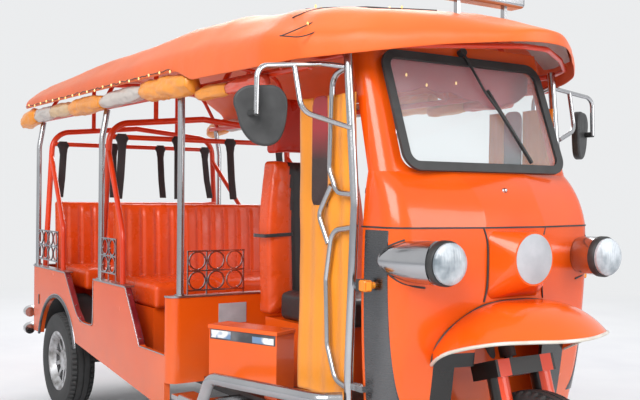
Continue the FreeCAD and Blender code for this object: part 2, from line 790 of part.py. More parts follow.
bow_reach = mm("bow_reach")
for x in ("rear_hoop_x", "mid_hoop_x", "front_post_x", "600", "visor_rear_x - 20"):
    top_z, slope = bow_line(x)
    perimeter.append(("roof_tube - 3", "bow_bend", [
        (x, "-roof_tube_half", "roof_tube_z"), (x, -bow_reach, top_z - bow_reach * slope),
        (x, "0", top_z, "bow_reach - bow_bend"), (x, bow_reach, top_z - bow_reach * slope),
        (x, "roof_tube_half", "roof_tube_z")]))
top_z, slope = bow_line("visor_rear_x - 20")
share = 46 / (mm("roof_tube_half") - bow_reach)
stay_z = mm("roof_tube_z") * (1 - share) + (top_z - bow_reach * slope) * share
for sign in (-1, 1):
    perimeter.append(("roof_tube - 3", "60", [
        ("visor_rear_x - 20", f"{sign} * (roof_tube_half - 46)", stay_z),
        ("1200", f"{sign} * (cab_half + 24)", "roof_tube_z + 40"),
        ("1337.5", f"{sign} * (cab_half + 24)", "roof_tube_z + 40")]))
visor_z = "front_skirt_z + 45"
visor_hoop = [("visor_rear_x - 5", "roof_tube_half", "roof_tube_z"),
              ("visor_rear_x - 5", "visor_half - 45", visor_z, "40"),
              ("visor_rear_x + 140", "visor_half * 0.94 - 36", visor_z, "90"),
              ("visor_rear_x + 340", "visor_half * 0.77 - 46", visor_z, "150"),
              ("visor_rear_x + 520", "visor_half * 0.45 - 41", visor_z, "150"),
              ("visor_rear_x + 665", "60", visor_z, "50")]
flip = [(p[0], f"-({p[1]})") + p[2:] for p in visor_hoop]
perimeter.append(("10", "30", visor_hoop + flip[::-1]))
frame_tubes = tubes(perimeter)
keep(feature("roof_frame", frame_tubes), "roof_frame")

posts = []
for x, stand in (("front_post_x", "front_post_half"), ("mid_post_x", "post_half"),
                 ("rear_post_x", "post_half")):
    for sign in (-1, 1):
        y = f"{sign} * {stand}"
        foot = Part.makeCylinder(mm("flange_round"), mm("flange_thick"),
                                 Vector(mm(x), mm(y), mm("rail_z + air")))
        post = tubes([("post_round", "200", [
            (x, y, "rail_z + air"), (x, y, "roof_tube_z - post_bend_drop"),
            (x, f"{sign} * roof_tube_half", "roof_tube_z - roof_tube - air")])])
        posts.append(foot.fuse(post))
keep(feature("roof_posts", Part.makeCompound(posts)), "roof_posts")

hoops = []
for x, leg_x in (("rear_hoop_x", "-1410"), ("mid_hoop_x", "-453")):
    run = []
    belt_bar_z = "roof_tube_z - belt_bar_drop"
    shoulder_z = mm("roof_tube_z - hoop_shoulder_drop")
    crown_z = mm("roof_tube_z - hoop_crown_drop")
    bow_z, slope = bow_line(x)
    riser_half = mm("riser_half")
    riser_low = crown_z - (crown_z - shoulder_z) * riser_half / mm("hoop_top_half")
    riser_top = bow_z - riser_half * slope - mm("roof_tube - 3 + air") * math.hypot(1, slope)
    for sign in (-1, 1):
        run.append(("hoop_round", "120", [
            (x, f"{sign} * hoop_foot_half", "floor_top_z + air"),
            (x, f"{sign} * hoop_foot_half", "900"),
            (x, f"{sign} * hoop_top_half", shoulder_z), (x, "0", crown_z)]))
        run.append(("hoop_round - 3", "90", [
            (x, f"{sign} * (hoop_top_half + 8)", "1540"),
            (leg_x, f"{sign} * (post_half - 2)", "1095"),
            (leg_x, f"{sign} * (post_half - 2)", "rail_z + air")]))
        run.append(("hoop_round - 4", "90", [
            (x, f"{sign} * riser_half", riser_low),
            (x, f"{sign} * riser_half", riser_top - 10 * slope)]))
    run.append(("hoop_round - 3", "90", [
        (x, "-hoop_top_half", belt_bar_z), (x, "hoop_top_half", belt_bar_z)]))
    hoops.append(tubes(run))
keep(feature("roll_hoops", Part.makeCompound(hoops)), "roll_hoops")

# Curtain rolls under the skirt



def roll_y(radius, drop):
    """How far out a roll lies that rests against the roof tube."""
    reach = mm("roof_tube + air + " + radius)
    return -(mm("roof_tube_half") + math.sqrt(reach ** 2 - mm(drop) ** 2))


rear_y = roll_y("roll_round", "roll_lift")
front_y = roll_y("front_roll_round", "front_roll_drop")
rolls = tubes([
    ("roll_round", "60", [("roof_rear_x + 60", rear_y, "roof_tube_z + roll_lift"),
                          ("roof_break_x", rear_y, "roof_tube_z + roll_lift")]),
    ("front_roll_round", "60", [
        ("roof_break_x - 10", front_y, "roof_tube_z - front_roll_drop"),
        ("roll_front_x", front_y, "roof_tube_z - front_roll_drop")])])
pair("curtain_rolls", rolls)

# Front fork, handlebar and wheel, drawn along the steering axis

fork = []
for sign in (-1, 1):
    fork.append(Part.makeCylinder(
        mm("leg_round"), mm("leg_long"),
        Vector(mm("fork_offset"), sign * mm("leg_half"), -30)))
fork.append(Part.makeBox(130, mm("2 * leg_half + 2 * leg_round"), mm("crown_high - crown_low"),
                         Vector(-50, -mm("leg_half + leg_round"), mm("crown_low"))))
fork.append(Part.makeCylinder(mm("stem_round"), mm("head_high + 100 - crown_low"),
                              Vector(0, 0, mm("crown_low"))))
fork.append(Part.makeCylinder(14, mm("2 * leg_half"),
                              Vector(mm("fork_offset"), -mm("leg_half"), 0), Vector(0, 1, 0)))
fork_shape = fork[0].multiFuse(fork[1:])
keep(feature("front_fork", tilted(fork_shape)), "front_fork")

stem_top = "head_high + 100"
bars = tubes([
    ("stem_round", "60", [("0", "0", stem_top), ("0", "0", "bar_high - 120"),
                          ("-60", "0", "bar_high")]),
    ("bar_round", "60", [
        ("-bar_back", "-bar_half", "bar_high"), ("-bar_back + 20", "-bar_half + 120", "bar_high"),
        ("-60", "-120", "bar_high"), ("-60", "120", "bar_high"),
        ("-bar_back + 20", "bar_half - 120", "bar_high"), ("-bar_back", "bar_half", "bar_high")]),
])
keep(feature("handlebar", tilted(bars)), "handlebar")


def tyre_shape(centre, outer, bead, wide):
    """A tyre turned about the Y axis, with a rounded tread and bulged walls."""
    half = wide / 2
    rim = half * 0.82
    points = [Vector(0, -rim, bead + 14), Vector(0, -half, bead + (outer - bead) * 0.45),
              Vector(0, -half * 0.78, outer - 6), Vector(0, 0, outer),
              Vector(0, half * 0.78, outer - 6), Vector(0, half, bead + (outer - bead) * 0.45),
              Vector(0, rim, bead + 14), Vector(0, rim, bead), Vector(0, rim - 12, bead)]
    edges = [
        Part.Arc(points[0], Vector(0, -half * 0.965, bead + (outer - bead) * 0.24),
                 points[1]).toShape(),
        Part.Arc(points[1], Vector(0, -half * 0.95, outer - (outer - bead) * 0.2),
                 points[2]).toShape(),
        Part.Arc(points[2], points[3], points[4]).toShape(),
        Part.Arc(points[4], Vector(0, half * 0.95, outer - (outer - bead) * 0.2),
                 points[5]).toShape(),
        Part.Arc(points[5], Vector(0, half * 0.965, bead + (outer - bead) * 0.24),
                 points[6]).toShape(),
        Part.makeLine(points[6], points[7]),
        Part.makeLine(points[7], points[8]),
        Part.makePolygon([
            points[8], Vector(0, half - 9, bead + (outer - bead) * 0.45),
            Vector(0, half * 0.62, outer - 15), Vector(0, -half * 0.62, outer - 15),
            Vector(0, 9 - half, bead + (outer - bead) * 0.45), Vector(0, 12 - rim, bead),
            Vector(0, -rim, bead), points[0]])]
    edges = [e for part in edges for e in part.Edges]
    face = Part.Face(Part.Wire(edges))
    solid = face.revolve(Vector(0, 0, 0), Vector(0, 1, 0), 360)
    solid.translate(centre)
    return solid


def rim_shape(centre, bead, wide, hub, spokes, outward):
    """A cast rim: barrel with flanges, a hub and tapered spokes on the outer side."""
    half = wide / 2 * 0.82
    seat = bead - mm("air")
    inner = half + mm("air")
    profile = [(-inner - 4, bead + 12), (-inner, bead + 12), (-inner, seat), (inner, seat),
               (inner, bead + 12), (inner + 4, bead + 12), (inner + 4, bead - 8),
               (half * 0.5, bead - 34), (-inner - 4, bead - 10)]
    wire = Part.makePolygon([Vector(0, y, r) for y, r in profile + profile[:1]])
    barrel = Part.Face(wire).revolve(Vector(0, 0, 0), Vector(0, 1, 0), 360)
    face_y = half * 0.35
    core = Part.makeCylinder(hub, half * 1.2, Vector(0, face_y - half * 1.2 + 10, 0),
                             Vector(0, 1, 0))
    arms = []
    for i in range(int(spokes)):
        arm = Part.Face(Part.makePolygon([
            Vector(-14, face_y - 12, hub - 12), Vector(14, face_y - 12, hub - 12),
            Vector(9, face_y - 2, bead - 20), Vector(-9, face_y - 2, bead - 20),
            Vector(-14, face_y - 12, hub - 12)])).extrude(Vector(0, 16, 0))
        arm.rotate(Vector(0, 0, 0), Vector(0, 1, 0), 360.0 / spokes * i)
        arms.append(arm)
    solid = barrel.multiFuse([core] + arms)
    if outward < 0:
        solid = solid.mirror(Vector(0, 0, 0), Vector(0, 1, 0))
    solid.translate(centre)
    return solid


front_centre = Vector(mm("front_axle_x"), 0, mm("front_tyre_round"))
front_rim = rim_shape(front_centre, mm("front_bead_round"), mm("front_tyre_wide"), 50,
                      mm("spoke_count"), 1)
front_bore = Part.makeCylinder(14.08, 300, front_centre - Vector(0, 150, 0), Vector(0, 1, 0))
keep(feature("front_rim", front_rim.cut(front_bore)), "front_rim")
keep(feature("front_tyre", tyre_shape(front_centre, mm("front_tyre_round"),
                                      mm("front_bead_round"), mm("front_tyre_wide"))),
     "front_tyre")
for side_name, sign in (("right", -1), ("left", 1)):
    centre = Vector(mm("rear_axle_x"), sign * mm("rear_tyre_face - rear_tyre_wide / 2"),
                    mm("rear_tyre_round"))
    rim = rim_shape(centre, mm("bead_round"), mm("rear_tyre_wide"), mm("hub_round"),
                    mm("spoke_count"), sign)
    keep(feature("rear_rim_" + side_name, rim), "rear_rim_" + side_name)
    tyre = tyre_shape(centre, mm("rear_tyre_round"), mm("bead_round"), mm("rear_tyre_wide"))
    keep(feature("rear_tyre_" + side_name, tyre), "rear_tyre_" + side_name)

# Rear axle with its drive housing, and leaf springs

hub_in = mm("rear_tyre_face - rear_tyre_wide / 2") - mm("rear_tyre_wide") / 2 * 0.82 * 0.85 + 10
beam = Part.makeCylinder(mm("axle_beam_round"), 2 * (hub_in - 0.4),
                         Vector(mm("rear_axle_x"), -(hub_in - 0.4), mm("rear_tyre_round")),
                         Vector(0, 1, 0))
drive = Part.makeSphere(mm("diff_round"), Vector(mm("rear_axle_x"), 60, mm("rear_tyre_round")))
motor = Part.makeCylinder(85, 240, Vector(mm("rear_axle_x") + 60, 60, mm("rear_tyre_round")),
                          Vector(1, 0, 0.12))
keep(feature("rear_axle", beam.multiFuse([drive, motor])), "rear_axle")

spring_z = "rear_tyre_round + axle_beam_round + air"
rise = mm(rail_low) - mm("air") - mm(spring_z) - 24
leaf = []
for i, reach in enumerate((400, 300, 200)):
    low = mm(spring_z) + 16 - 8 * i
    end_z = low + rise * (reach / 400) ** 2
    arc = Part.Arc(Vector(-reach, 0, end_z), Vector(0, 0, low), Vector(reach, 0, end_z))
    strip = arc.toShape().extrude(Vector(0, 55, 0))
    thick = strip.extrude(Vector(0, 0, 8))
    leaf.append(thick)
springs = leaf[0].multiFuse(leaf[1:])
springs.translate(Vector(mm("rear_axle_x"), -mm("rail_half") - 27.5, 0))
pair("leaf_springs", springs)

# Headlamps: chrome shells faired out to the corners, black rings and glass


def lamp_shell(grow):
    """The right lamp's shell: round sections that drift outward to the rear."""
    rings = []
    for x, y, radius in (("lamp_x - 22", "lamp_y", "lamp_round"),
                         ("lamp_x - 70", "lamp_y + 2", "lamp_round"),
                         ("lamp_x - 160", "lamp_y + 20", "lamp_round - 7"),
                         ("lamp_x - 232", "lamp_y + 50", "lamp_round - 28"),
                         ("lamp_x - 272", "lamp_y + 72", "14")):
        spot = Vector(mm(x), -mm(y), mm("lamp_z"))
        rings.append(Part.Wire(Part.makeCircle(mm(radius) + grow, spot, Vector(1, 0, 0))))
    return Part.makeLoft(rings, True, False)


lamp = lamp_shell(0)
lamp_room = lamp_shell(mm("air"))
lamp_ring = Part.makeCylinder(
    mm("lens_round + 6"), 20, Vector(mm("lamp_x - 22"), -mm("lamp_y"), mm("lamp_z")),
    Vector(1, 0, 0))
lens_room = Part.makeCylinder(
    mm("lens_round"), 14, Vector(mm("lamp_x - 14"), -mm("lamp_y"), mm("lamp_z")),
    Vector(1, 0, 0))
pair("headlamp_shells", lamp.fuse(lamp_ring.cut(lens_room)))
lens = Part.makeSphere(140, Vector(mm("lamp_x - 132"), -mm("lamp_y"), mm("lamp_z")))
lens_core = Part.makeCylinder(
    mm("lens_round - air"), 40, Vector(mm("lamp_x - 14 + air"), -mm("lamp_y"), mm("lamp_z")),
    Vector(1, 0, 0))
pair("headlamp_lenses", lens.common(lens_core))

lamp_rooms = [lamp_room, mirror(lamp_room)]
keep(feature("cab_lower_shell", lower.Shape.cut(lamp_rooms)), "cab_lower_shell")

# Polished corner panels that wrap the nose's corners


def nose_solid(name, rows, grow):
    """A filled nose, grown inward by a distance."""
    body = new_body(name)
    loft(body, "XY", [(row[0], nose_outline(*row[1:], grow=grow)) for row in rows])
    doc.recompute()
    return body.Shape


nose_room = nose_solid("nose_room", NOSE, "(-air)")
panel_skin = nose_solid("corner_skin", NOSE, "(-3)")
window = Part.makeBox(118, 400, mm("seam_z") - 560, Vector(1443, -600, 550))
panels = panel_skin.cut(nose_room).common(window).cut([lamp_room])
pair("corner_panels", panels)

# Black welt in the seam between the shells, raised nose cap and its round boss

welt = new_body("welt_body")
seam_row = NOSE[-1]
pad(welt, "XY", nose_outline(*seam_row[1:], grow="(-2)"), "seam_gap - 2 * air",
    "seam_z - seam_gap / 2 + air")
sketch = new_sketch(welt, "XY", "seam_z + seam_gap / 2 - air")
draw(sketch, nose_outline(*seam_row[1:], grow="cab_wall"))
hole = welt.newObject("PartDesign::Pocket", "hole")
hole.Profile = sketch
bind(hole, Length="seam_gap * 2")
keep(welt, "seam_welt")

cap = new_body("nose_cap_body")
badge_far = "badge_round - 1"
loft(cap, "YZ", [
    ("seam_front_x - 40", [
        ("-cap_half", "cap_low_z", "10"), ("cap_half", "cap_low_z", "10"),
        ("cap_half", "seam_z - 12", "10"), ("-cap_half", "seam_z - 12", "10")]),
    ("cap_front_x", [
        ("-badge_round", "badge_z - badge_round", badge_far),
        ("badge_round", "badge_z - badge_round", badge_far),
        ("badge_round", "badge_z + badge_round", badge_far),
        ("-badge_round", "badge_z + badge_round", badge_far)])], ruled=True)
doc.recompute()
keep(feature("nose_cap", cap.Shape.cut(nose_room)), "nose_cap")

# Front mudguard: a squashed dome over the wheel, cut where it meets the nose and arched below

outer_r = mm("guard_round")
top_z = mm("guard_top_z")
low_z = mm("guard_low_z")
thick = mm("guard_thick")


def guard_arc(inset):
    """The dome's side line, from the middle to the top of its upright edge."""
    return Part.Arc(Vector(60, 0, top_z - inset), Vector(outer_r * 0.7, 0, top_z - 55 - inset),
                    Vector(outer_r - inset, 0, top_z - 170)).toShape()


edges = [guard_arc(0), Part.makePolygon([
    Vector(outer_r, 0, top_z - 170), Vector(outer_r, 0, low_z),
    Vector(outer_r - thick, 0, low_z), Vector(outer_r - thick, 0, top_z - 170)]),
    guard_arc(thick), Part.makePolygon([
        Vector(60, 0, top_z - thick), Vector(0, 0, top_z - thick), Vector(0, 0, top_z),
        Vector(60, 0, top_z)])]
edges = [e for part in edges for e in part.Edges]
face = Part.Face(Part.Wire(Part.__sortEdges__(edges)))
dome = face.revolve(Vector(0, 0, 0), Vector(0, 0, 1), 360)
squash = FreeCAD.Matrix()
squash.scale(mm("guard_squash"), 1, 1)
dome = dome.transformGeometry(squash)
dome.translate(Vector(mm("guard_centre_x"), 0, 0))
GUARD_EDGE = [(1560, 100), (1560, 715), (1600, 722), (1690, 775), (1790, 812), (1900, 838),
              (2060, 826), (2060, 100)]
arch_edge = Part.Face(Part.makePolygon(
    [Vector(x, -600, z) for x, z in GUARD_EDGE + GUARD_EDGE[:1]])).extrude(Vector(0, 1200, 0))
guard = dome.cut([nose_room, arch_edge])
keep(feature("front_mudguard", sorted(guard.Solids, key=lambda s: s.CenterOfMass.x)[-1]),
     "front_mudguard")

# Footwell panel behind the front wheel, and the shelf under the windscreen

inside_nose = nose_solid("inside_nose", NOSE, "(cab_wall + air)")
well = Part.makeBox(12, 1000, 750, Vector(1432, -500, mm("floor_top_z + air")))
well = well.common(inside_nose).cut(tubes(stay_runs("19 + air")))
well = sorted(well.Solids, key=lambda s: s.Volume)[-1]
keep(feature("footwell_panel", well), "footwell_panel")
shelf = new_body("shelf_body")
pad(shelf, "XZ", [
    ("1400", "hood_z - 20", "12"), ("1500", "hood_z - 20"), ("1500", "hood_z + 18"),
    ("1400", "hood_z + 10", "12")], "2 * cab_half", "0", True)
doc.recompute()
inside_hood = nose_solid("inside_hood", HOOD, "(cab_wall + air)")
keep(feature("dash_shelf", shelf.Shape.common(inside_hood)), "dash_shelf")


# Wiper, hung over the windscreen

def on_screen(shape):
    """Moves a shape drawn flat (X across, Y up the glass, Z out) on to the windscreen."""
    moved = shape.copy()
    moved.Placement = Placement(
        Vector(mm("cowl_front_x"), 0, mm("screen_low_z")),
        Rotation(Vector(0, 1, 0), 90 - mm("screen_rake")).multiply(
            Rotation(Vector(0, 0, 1), 90)))
    return moved


pivot = Part.makeCylinder(16, 24, Vector(0, mm("screen_tall") + 20, mm("air")))
arm = tubes([("5", "20", [(0, "screen_tall + 20", 18), (60, 330, 20), (150, 190, 16)])])
blade = Part.makeBox(10, 330, 12, Vector(-5, -165, 8))
blade.rotate(Vector(0, 0, 0), Vector(0, 0, 1), 25)
blade.translate(Vector(150, 190, 0))
keep(feature("wiper", on_screen(pivot.multiFuse([arm, blade]))), "wiper")

# Roof lamp on two stands over the visor

lamp_low_z = mm("roof_crown_z") - 105
stands = [Part.makeBox(20, 14, 140, Vector(1470, y - 7, lamp_low_z - 120)) for y in (-120, 120)]
stands = [s.cut(roof_shape) for s in stands]
stands = [sorted(s.Solids, key=lambda q: q.BoundBox.ZMax)[-1] for s in stands]
bar = Part.makeBox(80, 400, 50, Vector(1440, -200, lamp_low_z))
bar = bar.makeFillet(16, bar.Edges)
keep(feature("roof_lamp", bar.multiFuse(stands)), "roof_lamp")

# Grab frames, mirror arms and mirrors

grab_y = "-(cab_half + 24)"
grab_post = tubes([("16", "160", [(1354, grab_y, 1830), (1409, grab_y, 1280),
                                  (1380, grab_y, 700), (1380, grab_y, 452)])])
for z in (620, 980):
    grab_post = grab_post.fuse(Part.makeBox(70, 26, 22, Vector(1385, -520, z)))
grab_post = grab_post.cut(nose_solid("grab_room", NOSE, "(-3 - air)"))


def branch(shape, met):
    """A tube welded on: its ends are cut to fit the tubes that it meets."""
    for other in met:
        shape = shape.cut(other)
    return max(shape.Solids, key=lambda solid: solid.Volume)


upper_loop = branch(tubes([
    ("11", "55", [(1359, grab_y, 1772), (1262, grab_y, 1745), (1250, grab_y, 1400),
                  (1298, grab_y, 1318), (1400, grab_y, 1312)])]), [grab_post])
lower_loop = branch(tubes([
    ("11", "60", [(1402, grab_y, 1196), (1270, grab_y, 1180), (1234, grab_y, 1000),
                  (1246, grab_y, 760), (1300, grab_y, 640), (1384, grab_y, 622)])]), [grab_post])
link = branch(tubes([
    ("11", "40", [(1262, grab_y, 1345), (1180, grab_y, 1236), (1246, grab_y, 1130)])]),
    [upper_loop, lower_loop])


def mirror_arm(radius):
    """The right mirror's arm and its strut."""
    return tubes([
        (radius, "45", [(1355, grab_y, 1767), (1292, "-(cab_half + 90)", 1780),
                        (1292, -858, 1750), (1294, -862, 1585)]),
        (radius, "60", [(1292, -708, 1767), (1330, -700, 1600), (1392, -535, 1548)]),
    ])


arm_welded = branch(mirror_arm("9.5"), [grab_post, upper_loop])
grab_tubes = [grab_post, upper_loop, lower_loop, link, arm_welded]
frames = Part.makeCompound(grab_tubes + [mirror(tube) for tube in grab_tubes])
keep(feature("grab_frames", frames), "grab_frames")
HEAD = [(-84, 20), (-80, 70), (-45, 95), (10, 99), (62, 96), (95, 60), (99, 10), (90, -50),
        (62, -100), (25, -112), (-20, -100), (-62, -50)]
curve = Part.BSplineCurve()
curve.interpolate([Vector(across, up, 0) for across, up in HEAD], PeriodicFlag=True)
head = Part.Face(Part.Wire(curve.toShape())).extrude(Vector(0, 0, 34))
head = head.makeFillet(9, [e for e in head.Edges if e.Length > 300])
turn = math.radians(28)
across = Vector(math.sin(turn), math.cos(turn), 0)
forward = Vector(math.cos(turn), -math.sin(turn), 0)
head.Placement = Placement(Vector(1253, -828, 1590) - forward * 17,
                           Rotation(across, Vector(0, 0, 1), forward, "ZXY"))
stub = Part.makeCylinder(12, 46, Vector(1250, -862, 1590), Vector(1, 0, 0))
pair("mirror_heads", head.fuse(stub).cut(mirror_arm("9.5 + air")))

# Side indicators on the corner panels

stalk = Part.makeCylinder(12, 40, Vector(1500, -490, 1000), Vector(0, -1, 0))
pod = Part.makeBox(52, 34, 40, Vector(1474, -563, 980))
pod = pod.makeFillet(8, pod.Edges)
pair("indicators", stalk.fuse(pod).cut(nose_solid("stalk_room", NOSE, "(-3 - air)")))

# Side guards, steps, rear bumper, tail lamps and plate

guard_tube = tubes([("25", "70", [
    (420, -720, 420), (600, -720, 420), (690, -720, 560), (1330, -620, 585),
    (1372, -546, 585)])])
step = Part.makeBox(300, 110, 20, Vector(300, -715, 402))
for x in (460, 560):
    step = step.fuse(Part.makeBox(30, 289.5, 20, Vector(x, -715, 402)))
pair("side_guards", guard_tube.fuse(step))

bumper = []
for z in (420, 530):
    bumper.append(("31", "120", [
        (-1750, -690, z), (-2091, -690, z), (-2091, 690, z), (-1750, 690, z)]))
bumper_shape = tubes(bumper)
for sign in (-1, 1):
    bumper_shape = bumper_shape.fuse(Part.makeBox(
        128, 50, 140, Vector(-2068, sign * 380 - 25, 405)))
bumper_shape = bumper_shape.cut(Part.makeBox(300, 2000, 700, Vector(-1940.3, -1000, 100)).cut(
    Part.makeBox(230, 2000, 700, Vector(-1900, -2684, 100)).fuse(
        Part.makeBox(230, 2000, 700, Vector(-1900, 684, 100)))))
keep(feature("rear_bumper", sorted(bumper_shape.Solids, key=lambda s: s.Volume)[-1]),
     "rear_bumper")
tail = Part.makeBox(22, 120, 150, Vector(-1962.3, -640, 640))
tail = tail.makeFillet(8, tail.Edges)
pair("tail_lamps", tail)
plate = Part.makeBox(6, 340, 120, Vector(-1946.3, -170, 640))
for y in (-mm("plate_bolt_half"), mm("plate_bolt_half")):
    plate = plate.cut(Part.makeCylinder(
        mm("plate_bolt_round"), 10, Vector(-1950, y, mm("plate_bolt_z")), Vector(1, 0, 0)))
keep(feature("plate_holder", plate), "plate_holder")

# Scroll rails along the tub: chrome bars between small uprights, with flat rings between them


def flat_ring(centre, axis):
    """A ring bent from flat strip."""
    foot = centre - axis * 3.5
    return Part.makeCylinder(44, 7, foot, axis).cut(Part.makeCylinder(38, 7, foot, axis))


def rod(start, end, wide):
    """A square bar between two points at one height or one above the other."""
    low = Vector(*[min(a, b) - wide / 2 for a, b in zip(start, end)])
    high = Vector(*[max(a, b) + wide / 2 for a, b in zip(start, end)])
    return Part.makeBox(high.x - low.x, high.y - low.y, high.z - low.z, low)


def scroll_panel(start, end, low, high, count):
    """One length of scroll rail between two heights, standing on the capping."""
    axis = (end - start).normalize()
    normal = axis.cross(Vector(0, 0, 1))
    step = start.distanceToPoint(end) / count
    bits = []
    for z in (low, (low + high) / 2, high):
        bits.append(rod(start + Vector(0, 0, z), end + Vector(0, 0, z), 7))
    for i in (0, count // 2, count):
        spot = start + axis * (step * i)
        bits.append(rod(spot + Vector(0, 0, mm("rail_z + air") + 3), spot + Vector(0, 0, high), 6))
    for i in range(count):
        for z in (low + 45, high - 45):
            spot = start + axis * (step * (i + 0.5)) + Vector(0, 0, z)
            bits.append(flat_ring(spot, normal))
    return bits[0].multiFuse(bits[1:])


scrolls = []
low, high = mm("rail_z") + 44, mm("rail_z") + 226
for rear_x, front_x in ((-1870, -1480), (-734, -523)):
    scrolls.append(scroll_panel(Vector(rear_x, -658, 0), Vector(front_x, -658, 0), low, high,
                                int((front_x - rear_x) / 95)))
scrolls.append(scroll_panel(Vector(178, -582, 0), Vector(178, -290, 0), low - 24, high - 24, 3))
pair("scroll_rails", Part.makeCompound(scrolls))

# Leaflet box, turned towards the kerb

leaflet = Part.makeBox(358, 118, 244, Vector(0, 0, 0))
leaflet = leaflet.cut(Part.makeBox(334, 94, 240, Vector(12, 12, 12)))
leaflet.Placement = Placement(Vector(557, -660, 512), Rotation(Vector(0, 0, 1), 21.5))
leaflet_foot = Part.makeBox(100, 30, 512 - mm("floor_top_z + air"),
                            Vector(740, -495, mm("floor_top_z + air")))
keep(feature("leaflet_box", leaflet.fuse(leaflet_foot)), "leaflet_box")

# Cab side curtains with clear windows

curtain = Part.makeBox(372, 8, 1120, Vector(1012, -507.7, 560))
curtain = curtain.makeFillet(40, [e for e in curtain.Edges if e.Length < 9])
gap = Part.makeBox(110, 40, 420, Vector(1100, -520, 1262))
gap = gap.makeFillet(40, [e for e in gap.Edges if abs(e.Length - 40) < 1e-6])
pair("cab_curtains", curtain.cut(gap))
pane = Part.makeBox(108, 3, 418, Vector(1101, -506, 1263))
pane = pane.makeFillet(39, [e for e in pane.Edges if abs(e.Length - 3) < 1e-6])
pair("curtain_windows", pane)

# Seat belts: four webbing straps hang from each belt bar

BELT = [(-37, -20), (0, -72), (37, -20), (37, 20), (-37, 20), (-37, -20)]
belts = []
for x in ("rear_hoop_x", "mid_hoop_x"):
    belt_x = mm(x + " + hoop_round - 3 + air")
    bar_z = mm("roof_tube_z - belt_bar_drop")
    for y in (-510, -170, 170, 510):
        strap = Part.makeBox(4, 46, bar_z - 1248, Vector(belt_x, y - 23, 1268))
        flare = Part.Face(Part.makePolygon([Vector(belt_x, y + dy, bar_z + dz) for dy, dz in BELT]))
        belts.append(strap.fuse(flare.extrude(Vector(6, 0, 0))))
keep(feature("seat_belts", Part.makeCompound(belts)), "seat_belts")

# Check every piece and write its file

doc.recompute()
faults = [f"{item.Name}: {item.State}" for item in doc.Objects
          if "Invalid" in item.State or "Error" in item.State]
for item in nodes:
    if item.Shape.isNull() or not item.Shape.isValid() or item.Shape.Volume <= 0:
        faults.append(f"{item.Label}: bad shape")
if faults:
    raise RuntimeError("; ".join(faults))
os.makedirs("parts", exist_ok=True)
for item in nodes:
    item.Shape.exportStep(f"parts/{item.Label}.step")
print(len(nodes), "parts written")
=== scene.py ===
import math
import bmesh
import bpy
from mathutils import Matrix, Vector, noise


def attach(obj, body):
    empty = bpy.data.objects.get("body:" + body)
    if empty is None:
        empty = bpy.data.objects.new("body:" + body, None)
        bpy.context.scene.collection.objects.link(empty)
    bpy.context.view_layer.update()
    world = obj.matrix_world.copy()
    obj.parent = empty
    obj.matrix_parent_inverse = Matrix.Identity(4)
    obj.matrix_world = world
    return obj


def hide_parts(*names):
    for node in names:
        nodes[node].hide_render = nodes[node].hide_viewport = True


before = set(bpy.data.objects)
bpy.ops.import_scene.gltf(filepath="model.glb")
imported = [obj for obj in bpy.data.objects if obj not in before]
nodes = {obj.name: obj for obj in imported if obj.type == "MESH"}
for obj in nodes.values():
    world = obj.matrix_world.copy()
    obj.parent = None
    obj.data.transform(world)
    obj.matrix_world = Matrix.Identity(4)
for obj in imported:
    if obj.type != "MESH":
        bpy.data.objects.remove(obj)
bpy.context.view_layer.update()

# The studio: a pale floor that runs to the horizon, a soft sky and three large lamps,
# with the camera low at the vehicle's right front corner, as for a catalogue picture.

bpy.context.scene.view_settings.view_transform = "Standard"
eye = Vector((4.02, -2.40951, 1.313))
turn, tip, roll = math.radians(56.36548), math.radians(0.37864), math.radians(0.57091)
ahead = Vector((-math.sin(turn) * math.cos(tip), math.cos(turn) * math.cos(tip), -math.sin(tip)))
level = Vector((math.cos(turn), math.sin(turn), 0))
up = level.cross(ahead)
side_axis = level * math.cos(roll) + up * math.sin(roll)
top_axis = up * math.cos(roll) - level * math.sin(roll)
camera = bpy.data.objects.new("camera", bpy.data.cameras.new("camera"))
camera.matrix_world = Matrix((
    (side_axis.x, top_axis.x, -ahead.x, eye.x), (side_axis.y, top_axis.y, -ahead.y, eye.y),
    (side_axis.z, top_axis.z, -ahead.z, eye.z), (0, 0, 0, 1)))
camera.data.lens = 51.39
bpy.context.collection.objects.link(camera)
bpy.context.scene.camera = camera


